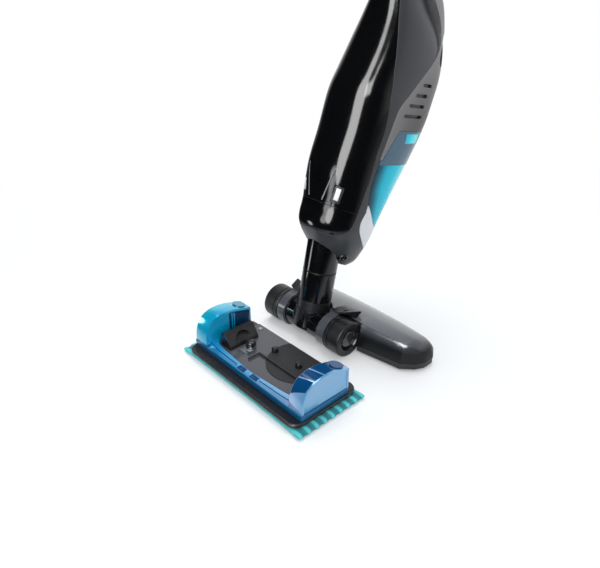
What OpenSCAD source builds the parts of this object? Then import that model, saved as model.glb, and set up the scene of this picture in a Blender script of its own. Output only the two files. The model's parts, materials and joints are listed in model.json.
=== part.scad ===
// Upright cordless stick vacuum cleaner with a powered floor nozzle, a lift-off
// hand unit and a separate clip-on wet mop. Lengths are in millimetres, +Z is up,
// +Y is the way the nozzle points and +X runs along the wheel axle.

/* [Wheels and neck] */
// Radius of the two rear wheels
wheel_r = 24; // [22:0.5:28]
// Width of one wheel
wheel_w = 26; // [20:0.5:32]
// Distance from the middle of the neck to a wheel's inner face
wheel_x = 46.3; // [45:0.1:52]
// Radius of the stub axles
axle_r = 5; // [4:0.1:6]
// Radius of the pivoting barrel between the wheels
barrel_r = 20; // [18.5:0.1:21]
// Outer radius of the suction tube
tube_r = 22.5; // [21:0.1:24]
// Wall of the suction tube
tube_wall = 2.6; // [2:0.1:4]
// Forward lean of the neck when it rests on its stop, in degrees
lean = 12.1; // [8:0.1:14]
// Height of the swivel joint above the axle, along the tube
swivel_s = 73; // [66:1:80]

/* [Floor nozzle] */
// Width of the floor nozzle
nozzle_w = 236; // [226:1:260]
// Distance from the neck to the nozzle's middle, sideways
nozzle_x = 40; // [34:1:44]
// Front edge of the nozzle, ahead of the axle
nozzle_front = 82; // [80:1:92]
// Rear edge of the nozzle's side wing, ahead of the axle
nozzle_rear = 12; // [10:1:16]
// Height of the nozzle's crown above the floor
nozzle_h = 44; // [43:0.5:50]
// Height of the seam between the nozzle's cover and its base
nozzle_seam = 11; // [9:0.5:13]
// Height of the nozzle's sole above the floor
sole_z = 3; // [2:0.5:4]
// Wall of the nozzle's mouldings
nozzle_wall = 2.5; // [1.8:0.1:3]
// Radius of the brush roll over its bristles
brush_r = 15.5; // [14:0.5:16]
// Length of the brush roll
brush_len = 168; // [120:2:172]
// Radius of the small front rollers
roller_r = 5; // [4:0.5:6]

/* [Stick body] */
// Widest width of the body
body_w = 102; // [96:1:112]
// Deepest depth of the body, back to front
body_d = 163; // [150:1:175]
// Length of the body from its lobe to the top of the hand unit
body_len = 362; // [350:1:380]
// Tilt of the body ahead of the tube, in degrees
body_tilt = 14; // [12:0.5:15]
// Height above the axle where the body's axis leaves the tube's
body_s = 43; // [38:1:46]
// Wall of the cradle's moulding
cradle_wall = 3; // [2.4:0.1:3.6]
// Thickness of the glossy cover let into the cradle's back
cover_t = 2.2; // [1.6:0.1:2.6]
// Wall of the dust bin and of the hand unit's mouldings
bin_wall = 2.4; // [1.8:0.1:3]

/* [Stem and handle] */
// Radius of the stem
stem_r = 15.5; // [14:0.1:16]
// Distance of the stem ahead of the tube's axis
stem_t = 40; // [38:0.5:42]
// Height of the stem's top above the axle, along the tube
stem_top = 930; // [800:5:1000]
// Wall of the stem
stem_wall = 1.6; // [1.2:0.1:2.4]
// Radius of the handle's bar
handle_r = 12.5; // [11:0.1:14]
// Inner width of the handle's loop
handle_gap = 42; // [38:1:50]
// Straight length of the handle's loop
handle_len = 78; // [70:1:100]

/* [Wet mop] */
// Width of the mop cloth
pad_w = 234; // [220:1:250]
// Depth of the mop cloth
pad_d = 112; // [106:1:120]
// Thickness of the mop cloth
pad_t = 7; // [6:0.5:9]
// Width of the tank frame over its two towers
tank_w = 203; // [190:1:208]
// Depth of the tank frame
tank_d = 74; // [72:1:80]
// Thickness of each tank tower
tower_t = 22; // [20:0.5:26]
// Height of the towers above the tank's base
tower_h = 45; // [40:1:50]
// Gap between the wheels and the mop cloth
mop_gap = 22; // [16:1:40]
// Distance from the neck to the mop's middle, sideways
mop_x = 31; // [28:1:36]

/* [Hidden] */

$fn = 48;
// Gap between neighbouring mouldings
fit = 0.3;
// Radial clearance of a running fit
run = 0.05;
// Ample length for through cuts
far = 400;

// Height of the axle, which is the wheels' radius
axle_z = wheel_r;
// Where the pad's middle lies behind the axle
mop_y = -(wheel_r + mop_gap + pad_d / 2);

// The handle's loop: centre line of its two bars, and the height where the bars begin
loop_r = handle_gap / 2 + handle_r;
loop_s = stem_top + loop_r + handle_r;
loop_t = stem_t;

// Middle of the whole object's box, which is moved onto the origin
front_y = (loop_s + handle_len) * sin(lean) + (loop_t + loop_r + handle_r) * cos(lean);
mid_x = (nozzle_x + nozzle_w / 2 + mop_x - pad_w / 2) / 2;
mid_y = (front_y + mop_y - pad_d / 2) / 2;

// ---------- frames ----------

module placed() translate([-mid_x, -mid_y, 0]) children();

// The stick's own frame: +Z runs up the suction tube from the axle
module on_tube() placed() translate([0, 0, axle_z]) rotate([-lean, 0, 0]) children();

// The body's frame: +Z runs up the body, which tilts ahead of the tube
module tilted() translate([0, 0, body_s]) rotate([-body_tilt, 0, 0]) children();
module on_body() on_tube() tilted() children();

// The tube's frame, written in the body's frame
module untilted() rotate([body_tilt, 0, 0]) translate([0, 0, -body_s]) children();

module on_nozzle() placed() translate([nozzle_x, 0, 0]) children();
module on_mop() placed() translate([mop_x, mop_y, 0]) children();
module along_x() rotate([90, 0, 90]) children();
module both_sides() for (k = [0, 1]) mirror([k, 0, 0]) children();

// ---------- outlines ----------

// Smooth curve through the rows of a table: column k at height u
function row_slope(table, i, k) =
    let (low = max(i - 1, 0), high = min(i + 1, len(table) - 1))
    (table[high][k] - table[low][k]) / (table[high][0] - table[low][0]);
function row_at(table, u, i = 0) =
    (i >= len(table) - 2 || u < table[i + 1][0]) ? i : row_at(table, u, i + 1);
function smooth(table, u, k) =
    let (i = row_at(table, u),
         h = table[i + 1][0] - table[i][0],
         q = min(max((u - table[i][0]) / h, 0), 1),
         m0 = row_slope(table, i, k) * h,
         m1 = row_slope(table, i + 1, k) * h)
    table[i][k] * (1 + 2 * q) * (1 - q) * (1 - q) + m0 * q * (1 - q) * (1 - q)
    + table[i + 1][k] * q * q * (3 - 2 * q) + m1 * q * q * (q - 1);

// Softly squared oval ring: half width a, from back to front, at height u; it runs clockwise
oval_sides = 28;
oval_power = 2 / 2.4;
function signed_pow(c) = sign(c) * pow(abs(c), oval_power);
function oval(a, back, front, u) = [
    for (i = [0 : oval_sides - 1])
        let (q = -360 * (i + 0.5) / oval_sides)
        [a * signed_pow(cos(q)), (back + front) / 2 + (front - back) / 2 * signed_pow(sin(q)), u]
];

// Solid through a list of rings that all hold the same number of points
module loft(rings) {
    n = len(rings[0]);
    last = len(rings) - 1;
    polyhedron(
        points = [for (ring = rings) for (p = ring) p],
        faces = concat(
            [[for (i = [0 : n - 1]) n - 1 - i]],
            [for (j = [0 : last - 1]) for (i = [0 : n - 1])
                [j * n + i, j * n + (i + 1) % n, (j + 1) * n + (i + 1) % n]],
            [for (j = [0 : last - 1]) for (i = [0 : n - 1])
                [j * n + i, (j + 1) * n + (i + 1) % n, (j + 1) * n + i]],
            [[for (i = [0 : n - 1]) last * n + i]]
        )
    );
}

// Rectangle with round corners
module rounded_rect(w, d, r) {
    square([w - 2 * r, d], center = true);
    square([w, d - 2 * r], center = true);
    for (x = [-1, 1]) for (y = [-1, 1])
        translate([x * (w / 2 - r), y * (d / 2 - r)]) circle(r);
}

module rounded_plate(w, d, r, h) linear_extrude(h) rounded_rect(w, d, r);

// ---------- the body's form ----------

// Share of the length, half width, back and front of the whole body
body_u0 = 43;
body_top_u = body_u0 + body_len;
body_rows = [
    [0.000, 0.30, 0.10, 0.38],
    [0.022, 0.47, -0.20, 0.49],
    [0.060, 0.65, -0.48, 0.51],
    [0.113, 0.82, -0.70, 0.52],
    [0.191, 0.87, -0.76, 0.55],
    [0.315, 0.94, -0.89, 0.63],
    [0.434, 0.98, -0.92, 0.73],
    [0.566, 1.00, -0.98, 0.83],
    [0.652, 0.98, -0.93, 0.82],
    [0.735, 0.94, -0.88, 0.79],
    [0.834, 0.82, -0.84, 0.67],
    [0.930, 0.63, -0.80, 0.50],
    [0.980, 0.44, -0.70, 0.38],
    [1.000, 0.26, -0.60, 0.30]
];
function body_level(share, inset = 0) =
    min(max(body_u0 + share * body_len, body_u0 + inset), body_u0 + body_len * 1.04 - inset);
function body_oval(rows, share, inset) = oval(
    smooth(rows, share, 1) * body_w / 2 - inset,
    smooth(rows, share, 2) * body_d / 2 + inset,
    smooth(rows, share, 3) * body_d / 2 - inset,
    body_level(share));
body_steps = [0, 0.022, 0.06, 0.113, 0.191, 0.31, 0.434, 0.566, 0.652, 0.735, 0.834, 0.885,
              0.93, 0.98, 1];

module body_form(inset = 0)
    loft([for (share = body_steps) body_oval(body_rows, share, inset)]);

// The cradle's form follows the body's, then draws in to the stem
cradle_rows = concat(
    [for (i = [0 : 9]) body_rows[i]],
    [[0.834, 0.78, -0.85, 0.55],
     [0.915, 0.52, -0.88, 0.05],
     [0.985, 0.36, -0.94, -0.47],
     [1.040, 0.33, -0.99, -0.56]]);
cradle_steps = [0, 0.022, 0.06, 0.113, 0.191, 0.31, 0.434, 0.566, 0.652, 0.735, 0.79, 0.834,
                0.875, 0.915, 0.95, 0.985, 1.04];
module cradle_form(inset = 0, first = 0, last = 16)
    loft([for (i = [first : last]) body_oval(cradle_rows, cradle_steps[i], inset)]);

// Side view of the cradle's open front, as [ahead, up] in the body's frame. The foot of the
// seam is measured from the axle's end of the body, and its head down from the body's top.
seam_foot = [[90, 68], [46, 69], [20, 75], [1, 92], [-14, 122], [-16, 130], [-24, 150],
             [-27, 185]];
seam_head = [[-28, 169], [-27, 158], [-24, 150], [-13, 129], [-1, 107], [14, 82], [19, 65],
             [10, 43], [-14, 21], [-38, 3]];
seam = concat(seam_foot, [for (p = seam_head) [p[0], body_top_u - p[1]]]);
seam_low = seam_foot[0][1];
// Ahead of, behind and over all of the body
beyond = 150;
over_u = body_top_u + 35;
under_u = 60;
// Moves a side view outline ahead by a gap
function ahead_by(points, gap) = [for (p = points) [p[0] + gap, p[1] + gap * 0.4]];
module side_view(points)
    rotate([90, 0, 90]) linear_extrude(far, center = true) polygon(points);
// All that lies ahead of the seam
module ahead_of_seam(gap = 0)
    side_view(concat(ahead_by(seam, gap), [[beyond, over_u], [beyond, seam_low + gap * 0.4]]));
// All that lies behind the seam by a margin, above a slanting lower edge
module behind_seam(margin)
    side_view(concat([for (i = [3 : len(seam) - 1]) [seam[i][0] - margin, seam[i][1]]],
                     [[-60, over_u], [-beyond, over_u], [-beyond, under_u]]));

// Height of the joint between the bin and the motor housing, along the tube
housing_len = 171.97;
bin_top_s = body_s + body_top_u * cos(body_tilt) - housing_len;
// Distance ahead of the tube's axis of a point that lies v ahead of the body's axis, at height s
function ahead_at(v, s) = (v + (s - body_s) * sin(body_tilt)) / cos(body_tilt);
// Side view of the bin's bottom
bin_bottom = [[-60, 129], [-14, 129], [12, 108], [40, 98], [90, 92]];
// Tail of the motor housing, which runs down behind the bin: ahead at its top and foot, length
tail = [42, 22, 36];
module above_bin(gap = 0) untilted() translate([0, 0, bin_top_s + gap]) {
    translate([-far / 2, -far / 2, 0]) cube(far);
    side_view([[-far / 2, -tail[2]], [tail[1] - gap, -tail[2]], [tail[0] - gap, 0],
               [tail[0] - gap, 1], [-far / 2, 1]]);
}
module above_bin_bottom(gap = 0)
    side_view(concat([for (p = bin_bottom) [p[0], p[1] + gap]],
                     [[bin_bottom[4][0], over_u], [bin_bottom[0][0], over_u]]));

// ---------- stick: cradle, covers, tubes ----------

// Lower edge of the glossy covers, and the line between the two of them
boot_edge_u = 82;
cover_edge_u = 114;
cover_margin = 7;
cover_short = 13;
cover_top_u = body_top_u - cover_short;

module cover_band(low, high, margin)
    intersection() {
        behind_seam(margin);
        translate([-far / 2, -far / 2, low]) cube([far, far, high - low]);
    }

module back_cover() on_body() color("#101114") difference() {
    intersection() {
        cradle_form(0, 3, 15);
        cover_band(cover_edge_u, cover_top_u, cover_margin);
    }
    cradle_form(cover_t, 3, 15);
    button_pockets(button_play);
}

module boot_cover() on_body() color("#15161a") difference() {
    intersection() {
        cradle_form(0, 2, 5);
        cover_band(boot_edge_u, cover_edge_u - fit, cover_margin);
    }
    cradle_form(cover_t, 2, 5);
}

module cradle_shell() color("#35373b") on_body() difference() {
    cradle_form(0);
    cradle_form(cradle_wall + cover_t, 1, 13);
    ahead_of_seam();
    // The recess that takes both glossy covers
    difference() {
        cover_band(boot_edge_u - fit, cover_top_u + fit, cover_margin - fit);
        cradle_form(cover_t + fit, 1, 16);
    }
    button_pockets(button_play);
    untilted() {
        cylinder(r = tube_r + fit / 2, h = tube_head_s + 50);
        translate([0, stem_t, stem_foot_s]) cylinder(r = stem_r + run, h = far);
    }
}

// Tube sections
module pipe(r, wall, low, high)
    translate([0, 0, low]) difference() {
        cylinder(r = r, h = high - low, $fn = 64);
        translate([0, 0, -1]) cylinder(r = r - wall, h = high - low + 2, $fn = 64);
    }

tube_foot_s = 31;
tube_head_s = 124;
groove_w = 1.6;
groove_t = 1;

module lower_tube() on_tube() color("#0d0e10") {
    pipe(tube_r, tube_wall, tube_foot_s + fit, swivel_s - groove_w);
    // Spigot that the upper tube turns on
    pipe(tube_r - tube_wall - run, 1.8, swivel_s - groove_w - 6, swivel_s + 14);
}
module swivel_ring() on_tube() color("#3a3c40")
    pipe(tube_r - groove_t, tube_wall - groove_t, swivel_s - groove_w + 0.2, swivel_s - 0.2);
module upper_tube() on_tube() color("#0d0e10") pipe(tube_r, tube_wall, swivel_s, tube_head_s);

// Seal on the tube's upper end, where the nose sits
gasket_t = 3;
module cup_gasket() on_tube() color("#1c1d1f")
    pipe(tube_r - 1, 6, tube_head_s + 0.1, tube_head_s + gasket_t);

// Release buttons on the two flanks of the back
button_w = 11;
button_h = 20;
button_u = 129;
button_x = 27;
button_v = -56;
button_turn = 38;
button_deep = 9;
button_play = 0.35;
module at_button() translate([button_x, button_v, button_u]) rotate([0, 0, button_turn]) children();
module button_block(play)
    at_button() rotate([90, 0, 0])
        translate([0, 0, -button_deep])
            linear_extrude(button_deep + 5 + play * 4)
                rounded_rect(button_w + 2 * play, button_h + 2 * play, 2.5 + play);
module button_pockets(play) both_sides() button_block(play);
module release_button() intersection() {
    button_block(0);
    cradle_form(0.4, 2, 6);
}
module release_button_right() on_body() color("#1b1c20") release_button();
module release_button_left() on_body() color("#1b1c20") mirror([1, 0, 0]) release_button();

// Stem and handle
collar_h = 16;
// The collar stands on the cradle's highest point
collar_s = body_s + (body_u0 + cradle_rows[13][0] * body_len) * cos(body_tilt)
    - cradle_rows[13][2] * body_d / 2 * sin(body_tilt) + fit;
stem_seat = 46;
stem_foot_s = collar_s - stem_seat;
module stem_tube() on_tube() color("#202226") translate([0, stem_t, 0])
    pipe(stem_r, stem_wall, stem_foot_s + 0.5, stem_top);
module stem_collar() on_tube() color("#3a3c40") translate([0, stem_t, 0])
    pipe(stem_r + 2.6, 2.6 - run, collar_s, collar_s + collar_h);

module half_ring(r, bar) rotate_extrude(angle = 180) translate([r, 0]) circle(bar);
module loop_bar(r, bar, long) rotate([90, 0, 90]) {
    half_ring(r, bar);
    mirror([0, 1, 0]) translate([0, long, 0]) half_ring(r, bar);
    for (x = [-r, r]) translate([x, 0, 0]) rotate([90, 0, 0]) cylinder(r = bar, h = long);
}
grip_t = 2;
grip_len = handle_len - 8;
socket_len = 34;
module at_loop() on_tube() translate([0, loop_t, loop_s + handle_len]) children();
module handle_loop() color("#17181b") at_loop() difference() {
    union() {
        loop_bar(loop_r, handle_r, handle_len);
        // Socket that takes the stem's top end
        translate([0, 0, -handle_len - loop_r - handle_r - socket_len])
            cylinder(r = stem_r + 3, h = socket_len + 10);
    }
    translate([0, 0, -handle_len - loop_r - handle_r - socket_len - 1])
        cylinder(r = stem_r + run, h = socket_len + 1);
    // Seat of the soft grip, round the rear bar
    translate([0, -loop_r, -handle_len + 4 - fit]) difference() {
        cylinder(r = handle_r + 1, h = grip_len + 2 * fit);
        translate([0, 0, -1]) cylinder(r = handle_r - grip_t - fit, h = grip_len + 3);
    }
    slider_track();
}
module handle_grip() color("#2a2b2e") at_loop() translate([0, -loop_r, -handle_len + 4])
    difference() {
        cylinder(r = handle_r, h = grip_len);
        translate([0, 0, -1]) cylinder(r = handle_r - grip_t, h = grip_len + 2);
    }
// Track of the power slider, in the front bar's outer side
slider_deep = 4;
slider_w = 9;
slider_h = 20;
slider_travel = 6;
module slider_track()
    translate([0, loop_r + handle_r - slider_deep, -handle_len / 2])
        rotate([-90, 0, 0]) translate([0, -slider_travel / 2, 0])
            rounded_plate(slider_w + 2 * fit, slider_h + slider_travel + 2 * fit, 3, slider_deep + 2);
module power_slider() color("#9aa0a6") at_loop()
    translate([0, loop_r + handle_r - slider_deep + fit, -handle_len / 2])
        rotate([-90, 0, 0]) {
            rounded_plate(slider_w, slider_h, 2.8, slider_deep - 0.6);
            for (y = [-6, -2, 2, 6]) translate([0, y, slider_deep - 0.8])
                rounded_plate(slider_w - 2, 1.4, 0.6, 1);
        }

// ---------- hand unit ----------

// The tongue that the hand unit carries into the cradle
tongue_w = 46;
tongue_back = -20;
tongue_front = 34;
tongue_foot = 126;
tongue_short = 80;
tongue_top = body_top_u - tongue_short;
tongue_corner = 8;
module tongue(inset)
    translate([0, 0, tongue_foot + inset]) linear_extrude(tongue_top - tongue_foot - 2 * inset)
        let (w = tongue_w / 2 - inset, b = tongue_back + inset, f = tongue_front - inset,
             c = tongue_corner - inset * 0.6)
        polygon([[-w, b + c], [-w + c, b], [w - c, b], [w, b + c], [w, f], [-w, f]]);
// Solid form of the hand unit: flush ahead of the seam, narrower behind it
module hand_form(inset = 0) {
    intersection() {
        body_form(inset);
        ahead_of_seam(fit + inset);
    }
    tongue(inset);
}

// Hollow of the motor housing, open towards the bin
module hand_hollow() intersection() {
    hand_form(bin_wall);
    above_bin(-1);
}

// Exhaust slots through both flanks, square to the tube: each [length, ahead of the body's axis]
slots = [[34, 3.3], [29, 3.9], [22, 6.9], [17, 12.2]];
slot_h = 4;
slot_lift = 18;
slot_low_s = bin_top_s + slot_lift;
slot_pitch = 12.5;
module exhaust_slots() untilted() both_sides()
    for (i = [0 : 3]) let (s = slot_low_s + i * slot_pitch) translate([20, ahead_at(slots[i][1], s), s])
        hull() for (k = [-0.5, 0.5])
            translate([0, k * slots[i][0], 0]) rotate([0, 90, 0])
                cylinder(r = slot_h / 2, h = far, $fn = 16);

// Finger loop through the top of the hand unit, with its own wall
finger_v = 35;
finger_short = 55;
finger_len = 22;
finger_high = body_top_u - finger_short;
finger_low = finger_high - finger_len;
finger_r = 9.5;
module finger_hole(grow) hull() for (u = [finger_low, finger_high])
    translate([-far / 2, finger_v, u]) rotate([0, 90, 0])
        cylinder(r = finger_r + grow, h = far, $fn = 32);

module hand_shell() difference() {
    intersection() {
        hand_form();
        above_bin(fit / 2);
    }
    difference() {
        hand_hollow();
        finger_hole(bin_wall);
        // Shelf under the battery
        translate([-far / 2, finger_v - far, shelf_u]) cube([far, far, shelf_t]);
    }
    exhaust_slots();
    finger_hole(0);
    untilted() bin_latch_block(button_play);
}
module hand_half(side) intersection() {
    hand_shell();
    translate([side > 0 ? fit / 4 : -far - fit / 4, -far / 2, 0]) cube([far, far, 2 * far]);
}
module hand_shell_right() color("#4a4b4e") on_body() hand_half(1);
module hand_shell_left() color("#4a4b4e") on_body() hand_half(-1);

// Bulkhead that closes the motor chamber and carries the fan motor
bulkhead_t = 3;
motor_r = 22;
motor_v = 19.3;
motor_lift = 36;
motor_s = bin_top_s + motor_lift;
motor_t = ahead_at(motor_v, motor_s);
motor_len = 34;
inlet_r = 15;
cup_wall = 3;
module hand_bulkhead() color("#1d1e20") {
    on_body() difference() {
        intersection() {
            hand_form(bin_wall);
            difference() {
                above_bin(fit);
                above_bin(fit + bulkhead_t);
            }
        }
        untilted() translate([0, motor_t, 0]) cylinder(r = motor_r, h = far);
    }
    on_tube() translate([0, motor_t, 0]) difference() {
        translate([0, 0, bin_top_s + fit]) cylinder(r = motor_r + cup_wall, h = motor_s - bin_top_s - 2);
        translate([0, 0, bin_top_s]) cylinder(r = inlet_r, h = far);
        translate([0, 0, bin_top_s + fit + bulkhead_t]) cylinder(r = motor_r + run, h = far);
    }
}
// Fan motor can, with its shaft towards the bin
shaft_r = 2.5;
module fan_motor() color("#b8bcc0") on_tube() translate([0, motor_t, 0]) {
    translate([0, 0, motor_s - 6]) cylinder(r = motor_r, h = motor_len - 6);
    translate([0, 0, motor_s + motor_len - 12]) cylinder(r = motor_r - 6, h = 8);
    translate([0, 0, motor_s - 24]) cylinder(r = shaft_r, h = 20);
}
// Vaned fan wheel on the motor's shaft
fan_r = 19;
fan_h = 9;
vanes = 9;
module fan_wheel() color("#d0d3d6") on_tube() translate([0, motor_t, motor_s - 20]) difference() {
    union() {
        cylinder(r = fan_r, h = 1.6);
        cylinder(r1 = 7, r2 = 5, h = fan_h);
        for (i = [0 : vanes - 1]) rotate(360 / vanes * i) translate([fan_r - 12.4, -3, 0])
            linear_extrude(fan_h - 2) intersection() {
                translate([-1, -10]) square([12.6, 16]);
                difference() {
                    translate([4, -9]) circle(13);
                    translate([4, -9]) circle(12);
                }
            }
    }
    translate([0, 0, -1]) cylinder(r = shaft_r + run, h = far);
}
// Battery pack on its shelf, above the finger loop
shelf_short = 43;
shelf_u = body_top_u - shelf_short;
shelf_t = 2;
battery = [26, 16, 18];
battery_v = 21.5;
battery_corner = 4;
module battery_pack() color("#2a5d9f") on_body()
    translate([0, battery_v, shelf_u + shelf_t])
        rounded_plate(battery[0], battery[1], battery_corner, battery[2]);

// Silver nose between the bin and the cradle's cup, with the duct that leads up from the seal
mouth_r = 15;
mouth_low_s = tube_head_s + gasket_t + fit;
mouth_h = 24;
duct_wall = 2.2;
duct_half = 11;
nose_duct = [88, 104];
nose_back = seam_foot[4][0];
nose_high = 130;
// Where the duct leaves the mouth and where it opens into the nose, ahead of the body's axis
duct_run = [-24, 8];
module nose_duct_box(inset)
    translate([inset - duct_half, duct_run[0], nose_duct[0] + inset])
        cube([2 * (duct_half - inset), duct_run[1] - duct_run[0] + (inset > 0 ? 1 : 0),
              nose_duct[1] - nose_duct[0] - 2 * inset]);
module nose_cover() color("#c9ccd0") on_body() difference() {
    union() {
        difference() {
            intersection() {
                body_form();
                ahead_of_seam(fit);
                side_view([[nose_back, under_u], [beyond, under_u], [beyond, nose_high],
                           [nose_back, nose_high]]);
            }
            above_bin_bottom(-fit);
            intersection() {
                body_form(bin_wall);
                ahead_of_seam(bin_wall + fit);
            }
        }
        // Mouth that reaches down to the seal
        untilted() translate([0, 0, mouth_low_s]) cylinder(r = mouth_r, h = mouth_h);
        nose_duct_box(0);
    }
    untilted() translate([0, 0, mouth_low_s - 1])
        cylinder(r = mouth_r - duct_wall, h = mouth_h - duct_wall + 1);
    nose_duct_box(duct_wall);
}

// Dust bin: clear walls below the motor housing
module bin_form(inset) intersection() {
    hand_form(inset);
    above_bin_bottom(inset);
    difference() {
        translate([-far / 2, -far / 2, 0]) cube([far, far, 2 * far]);
        above_bin(-fit / 2);
    }
}
// Inlet through the bin's bottom, over the nose
inlet_v = 32;
bin_inlet_r = 9;
module dust_bin() color("#19bcd8", 0.6) on_body() difference() {
    bin_form(0);
    intersection() {
        hand_form(bin_wall);
        above_bin_bottom(bin_wall);
    }
    translate([0, inlet_v, bin_bottom[4][1]]) cylinder(r = bin_inlet_r, h = 25);
}

// Filter: frame that hangs from the bin's rim, and the pleats inside it
filter_r = 20;
filter_h = 46;
filter_low_s = bin_top_s - filter_h;
filter_v = 22.2;
filter_t = ahead_at(filter_v, bin_top_s);
rim = [66, 50];
rim_v = 28;
rim_t = ahead_at(rim_v, bin_top_s);
rim_corner = 16;
rim_h = 3.4;
rim_drop = 0.4;
pleats = 18;
// Ears that rest against the bin's side walls
ear_w = 24;
ear_x = 33.3;
ear_back = 14;
ear_d = 12;
filter_wall = 1.6;
basket_foot = 3;
window_w = 12;
window_foot = 8;
module filter_frame() color("#5a6a78") on_tube() difference() {
    union() {
        translate([0, rim_t, bin_top_s - rim_h - rim_drop])
            rounded_plate(rim[0], rim[1], rim_corner, rim_h);
        translate([0, filter_t, filter_low_s]) cylinder(r = filter_r, h = filter_h - 2);
        for (x = [-1, 1]) translate([x * ear_x, rim_t - ear_back, bin_top_s - rim_h / 2 - rim_drop])
            cube([ear_w, ear_d, rim_h], center = true);
    }
    translate([0, filter_t, filter_low_s + basket_foot]) cylinder(r = filter_r - filter_wall, h = far);
    // Windows in the basket
    for (a = [0 : 60 : 179]) translate([0, filter_t, filter_low_s + window_foot]) rotate(a)
        translate([-far / 2, -window_w / 2, 0]) cube([far, window_w, filter_h - 20]);
}
pleat_deep = 4.4;
pleat_t = 2.5;
module filter_pleats() color("#e8e8e4") on_tube()
    translate([0, filter_t, filter_low_s + basket_foot + 0.2]) linear_extrude(filter_h - 6)
        difference() {
            polygon([for (i = [0 : 2 * pleats - 1])
                let (r = filter_r - filter_wall - (i % 2 == 0 ? 0.2 : pleat_deep), a = 180 / pleats * i)
                [r * cos(a), r * sin(a)]]);
            circle(filter_r - filter_wall - pleat_deep - pleat_t);
        }

// Push button that frees the bin, in the front of the motor housing
latch_w = 26;
latch_h = 12;
latch_deep = 9;
latch_corner = 3;
latch_lift = 12;
latch_v = 59.1;
latch_s = bin_top_s + latch_lift;
latch_t = ahead_at(latch_v, latch_s);
module bin_latch_block(play) translate([0, latch_t, latch_s]) rotate([-90, 0, 0])
    translate([0, 0, -play])
        rounded_plate(latch_w + 2 * play, latch_h + 2 * play, latch_corner + play, latch_deep + play * 30);
module bin_latch() color("#19bcd8") on_tube() bin_latch_block(0);

// ---------- floor nozzle ----------

half_w = nozzle_w / 2;
wing_sweep = 10;
wing_corner = half_w - 20;
cheek = 35;
rear_table = [[0, 0], [34, 0], [wing_corner, wing_sweep], [half_w - 6, wing_sweep + 13],
              [half_w, cheek]];
front_table = [[0, 0], [60, -0.6], [wing_corner, -3], [half_w - 6, -9], [half_w, -18]];
function rear_at(x) = nozzle_rear + lookup(abs(x), rear_table);
function front_at(x) = nozzle_front + lookup(abs(x), front_table);
// The crown falls gently to the wing's corner, then rounds down to the seam
function crown_at(x) =
    let (a = abs(x), fall = nozzle_h - 6 * pow(min(a, wing_corner) / wing_corner, 2),
         over = max(a - wing_corner, 0) / (half_w - wing_corner))
    nozzle_seam + 3 + (fall - nozzle_seam - 3) * sqrt(max(1 - over * over, 0));

// Loop of points round the nozzle's section at x: rear wall, crown, rounded nose
function nozzle_ring(x, inset) =
    let (scaled = x * (half_w - inset) / half_w,
         rear = rear_at(x) + inset,
         front = front_at(x) - inset,
         top = crown_at(x) - inset,
         low = nozzle_seam - (inset > 0 ? 1 : 0),
         rise = top - low,
         lean_in = 0.2 * rise,
         ridge = rear + lean_in + 0.3 * (front - rear))
    concat(
        [[scaled, rear, low], [scaled, rear + 0.5 * lean_in, low + 0.5 * rise],
         [scaled, rear + 0.85 * lean_in, low + 0.84 * rise],
         [scaled, rear + 1.2 * lean_in, low + 0.95 * rise],
         [scaled, ridge, top]],
        [for (q = [15 : 15 : 90])
            [scaled, ridge + (front - ridge) * sin(q), low + rise * (0.12 + 0.88 * cos(q))]],
        [[scaled, front - 0.4, low]]
    );
nozzle_shares = [1, 0.985, 0.95, 0.9, 0.83, 0.7, 0.5, 0.3, 0.12];
module nozzle_form(inset = 0)
    loft([for (x = concat(-half_w * nozzle_shares, [for (i = [8 : -1 : 0]) half_w * nozzle_shares[i]]))
        nozzle_ring(x, inset)]);

// Plan of the nozzle, drawn from the same tables
function rear_corner(i, side, inset) =
    [side * rear_table[i][0] * (1 - inset / half_w), nozzle_rear + rear_table[i][1] + inset];
function front_corner(i, side, inset) =
    [side * front_table[i][0] * (1 - inset / half_w), nozzle_front + front_table[i][1] - inset];
function plan(inset) = concat(
    [for (i = [4 : -1 : 0]) rear_corner(i, -1, inset)], [for (i = [1 : 4]) rear_corner(i, 1, inset)],
    [for (i = [4 : -1 : 0]) front_corner(i, 1, inset)], [for (i = [1 : 4]) front_corner(i, -1, inset)]
);

// Arch that clears the wheels and the barrel, with the nozzle beside it on one side
arch_r = wheel_r + 3.2;
arch_x = wheel_x + wheel_w + 2;
module arch(grow = 0) translate([-far - nozzle_x, 0, 0])
    intersection() {
        translate([0, 0, axle_z]) rotate([0, 90, 0])
            cylinder(r = arch_r + grow, h = far + arch_x + grow, $fn = 72);
        translate([0, -far / 2, -1]) cube([far * 2, far, axle_z + arch_r + 10]);
    }
// All under and behind the arch's upper edge
module arch_cut(grow = 0) {
    arch(grow);
    translate([-far - nozzle_x, -far + arch_r + grow - 0.5, -1])
        cube([far + arch_x + grow, far, axle_z]);
    translate([-far - nozzle_x, -far, -1]) cube([far + arch_x + grow, far, 100]);
}

arm_gap = 1.2;
arm_t = 12.8;
arm_out = wheel_x - arm_gap;
arm_in = arm_out - arm_t;
barrel_half = arm_in - fit;
arm_r = wheel_r - 0.8;
arm_foot = 14;
arm_front = 36.5;
module arm_plate(grow = 0) along_x() translate([0, 0, arm_in - grow])
    linear_extrude(arm_out - arm_in + 2 * grow) {
        translate([0, axle_z]) circle(arm_r + grow, $fn = 72);
        polygon([[0, axle_z], [0, axle_z + arm_r + grow], [8, axle_z + arm_r + 2.6 + grow],
                 [20, axle_z + arm_r + 1.8 + grow], [32, nozzle_h + 0.6 + grow],
                 [arm_front + grow, nozzle_h - 10], [arm_front + grow, arm_foot - grow],
                 [18, arm_foot - grow]]);
    }
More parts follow.
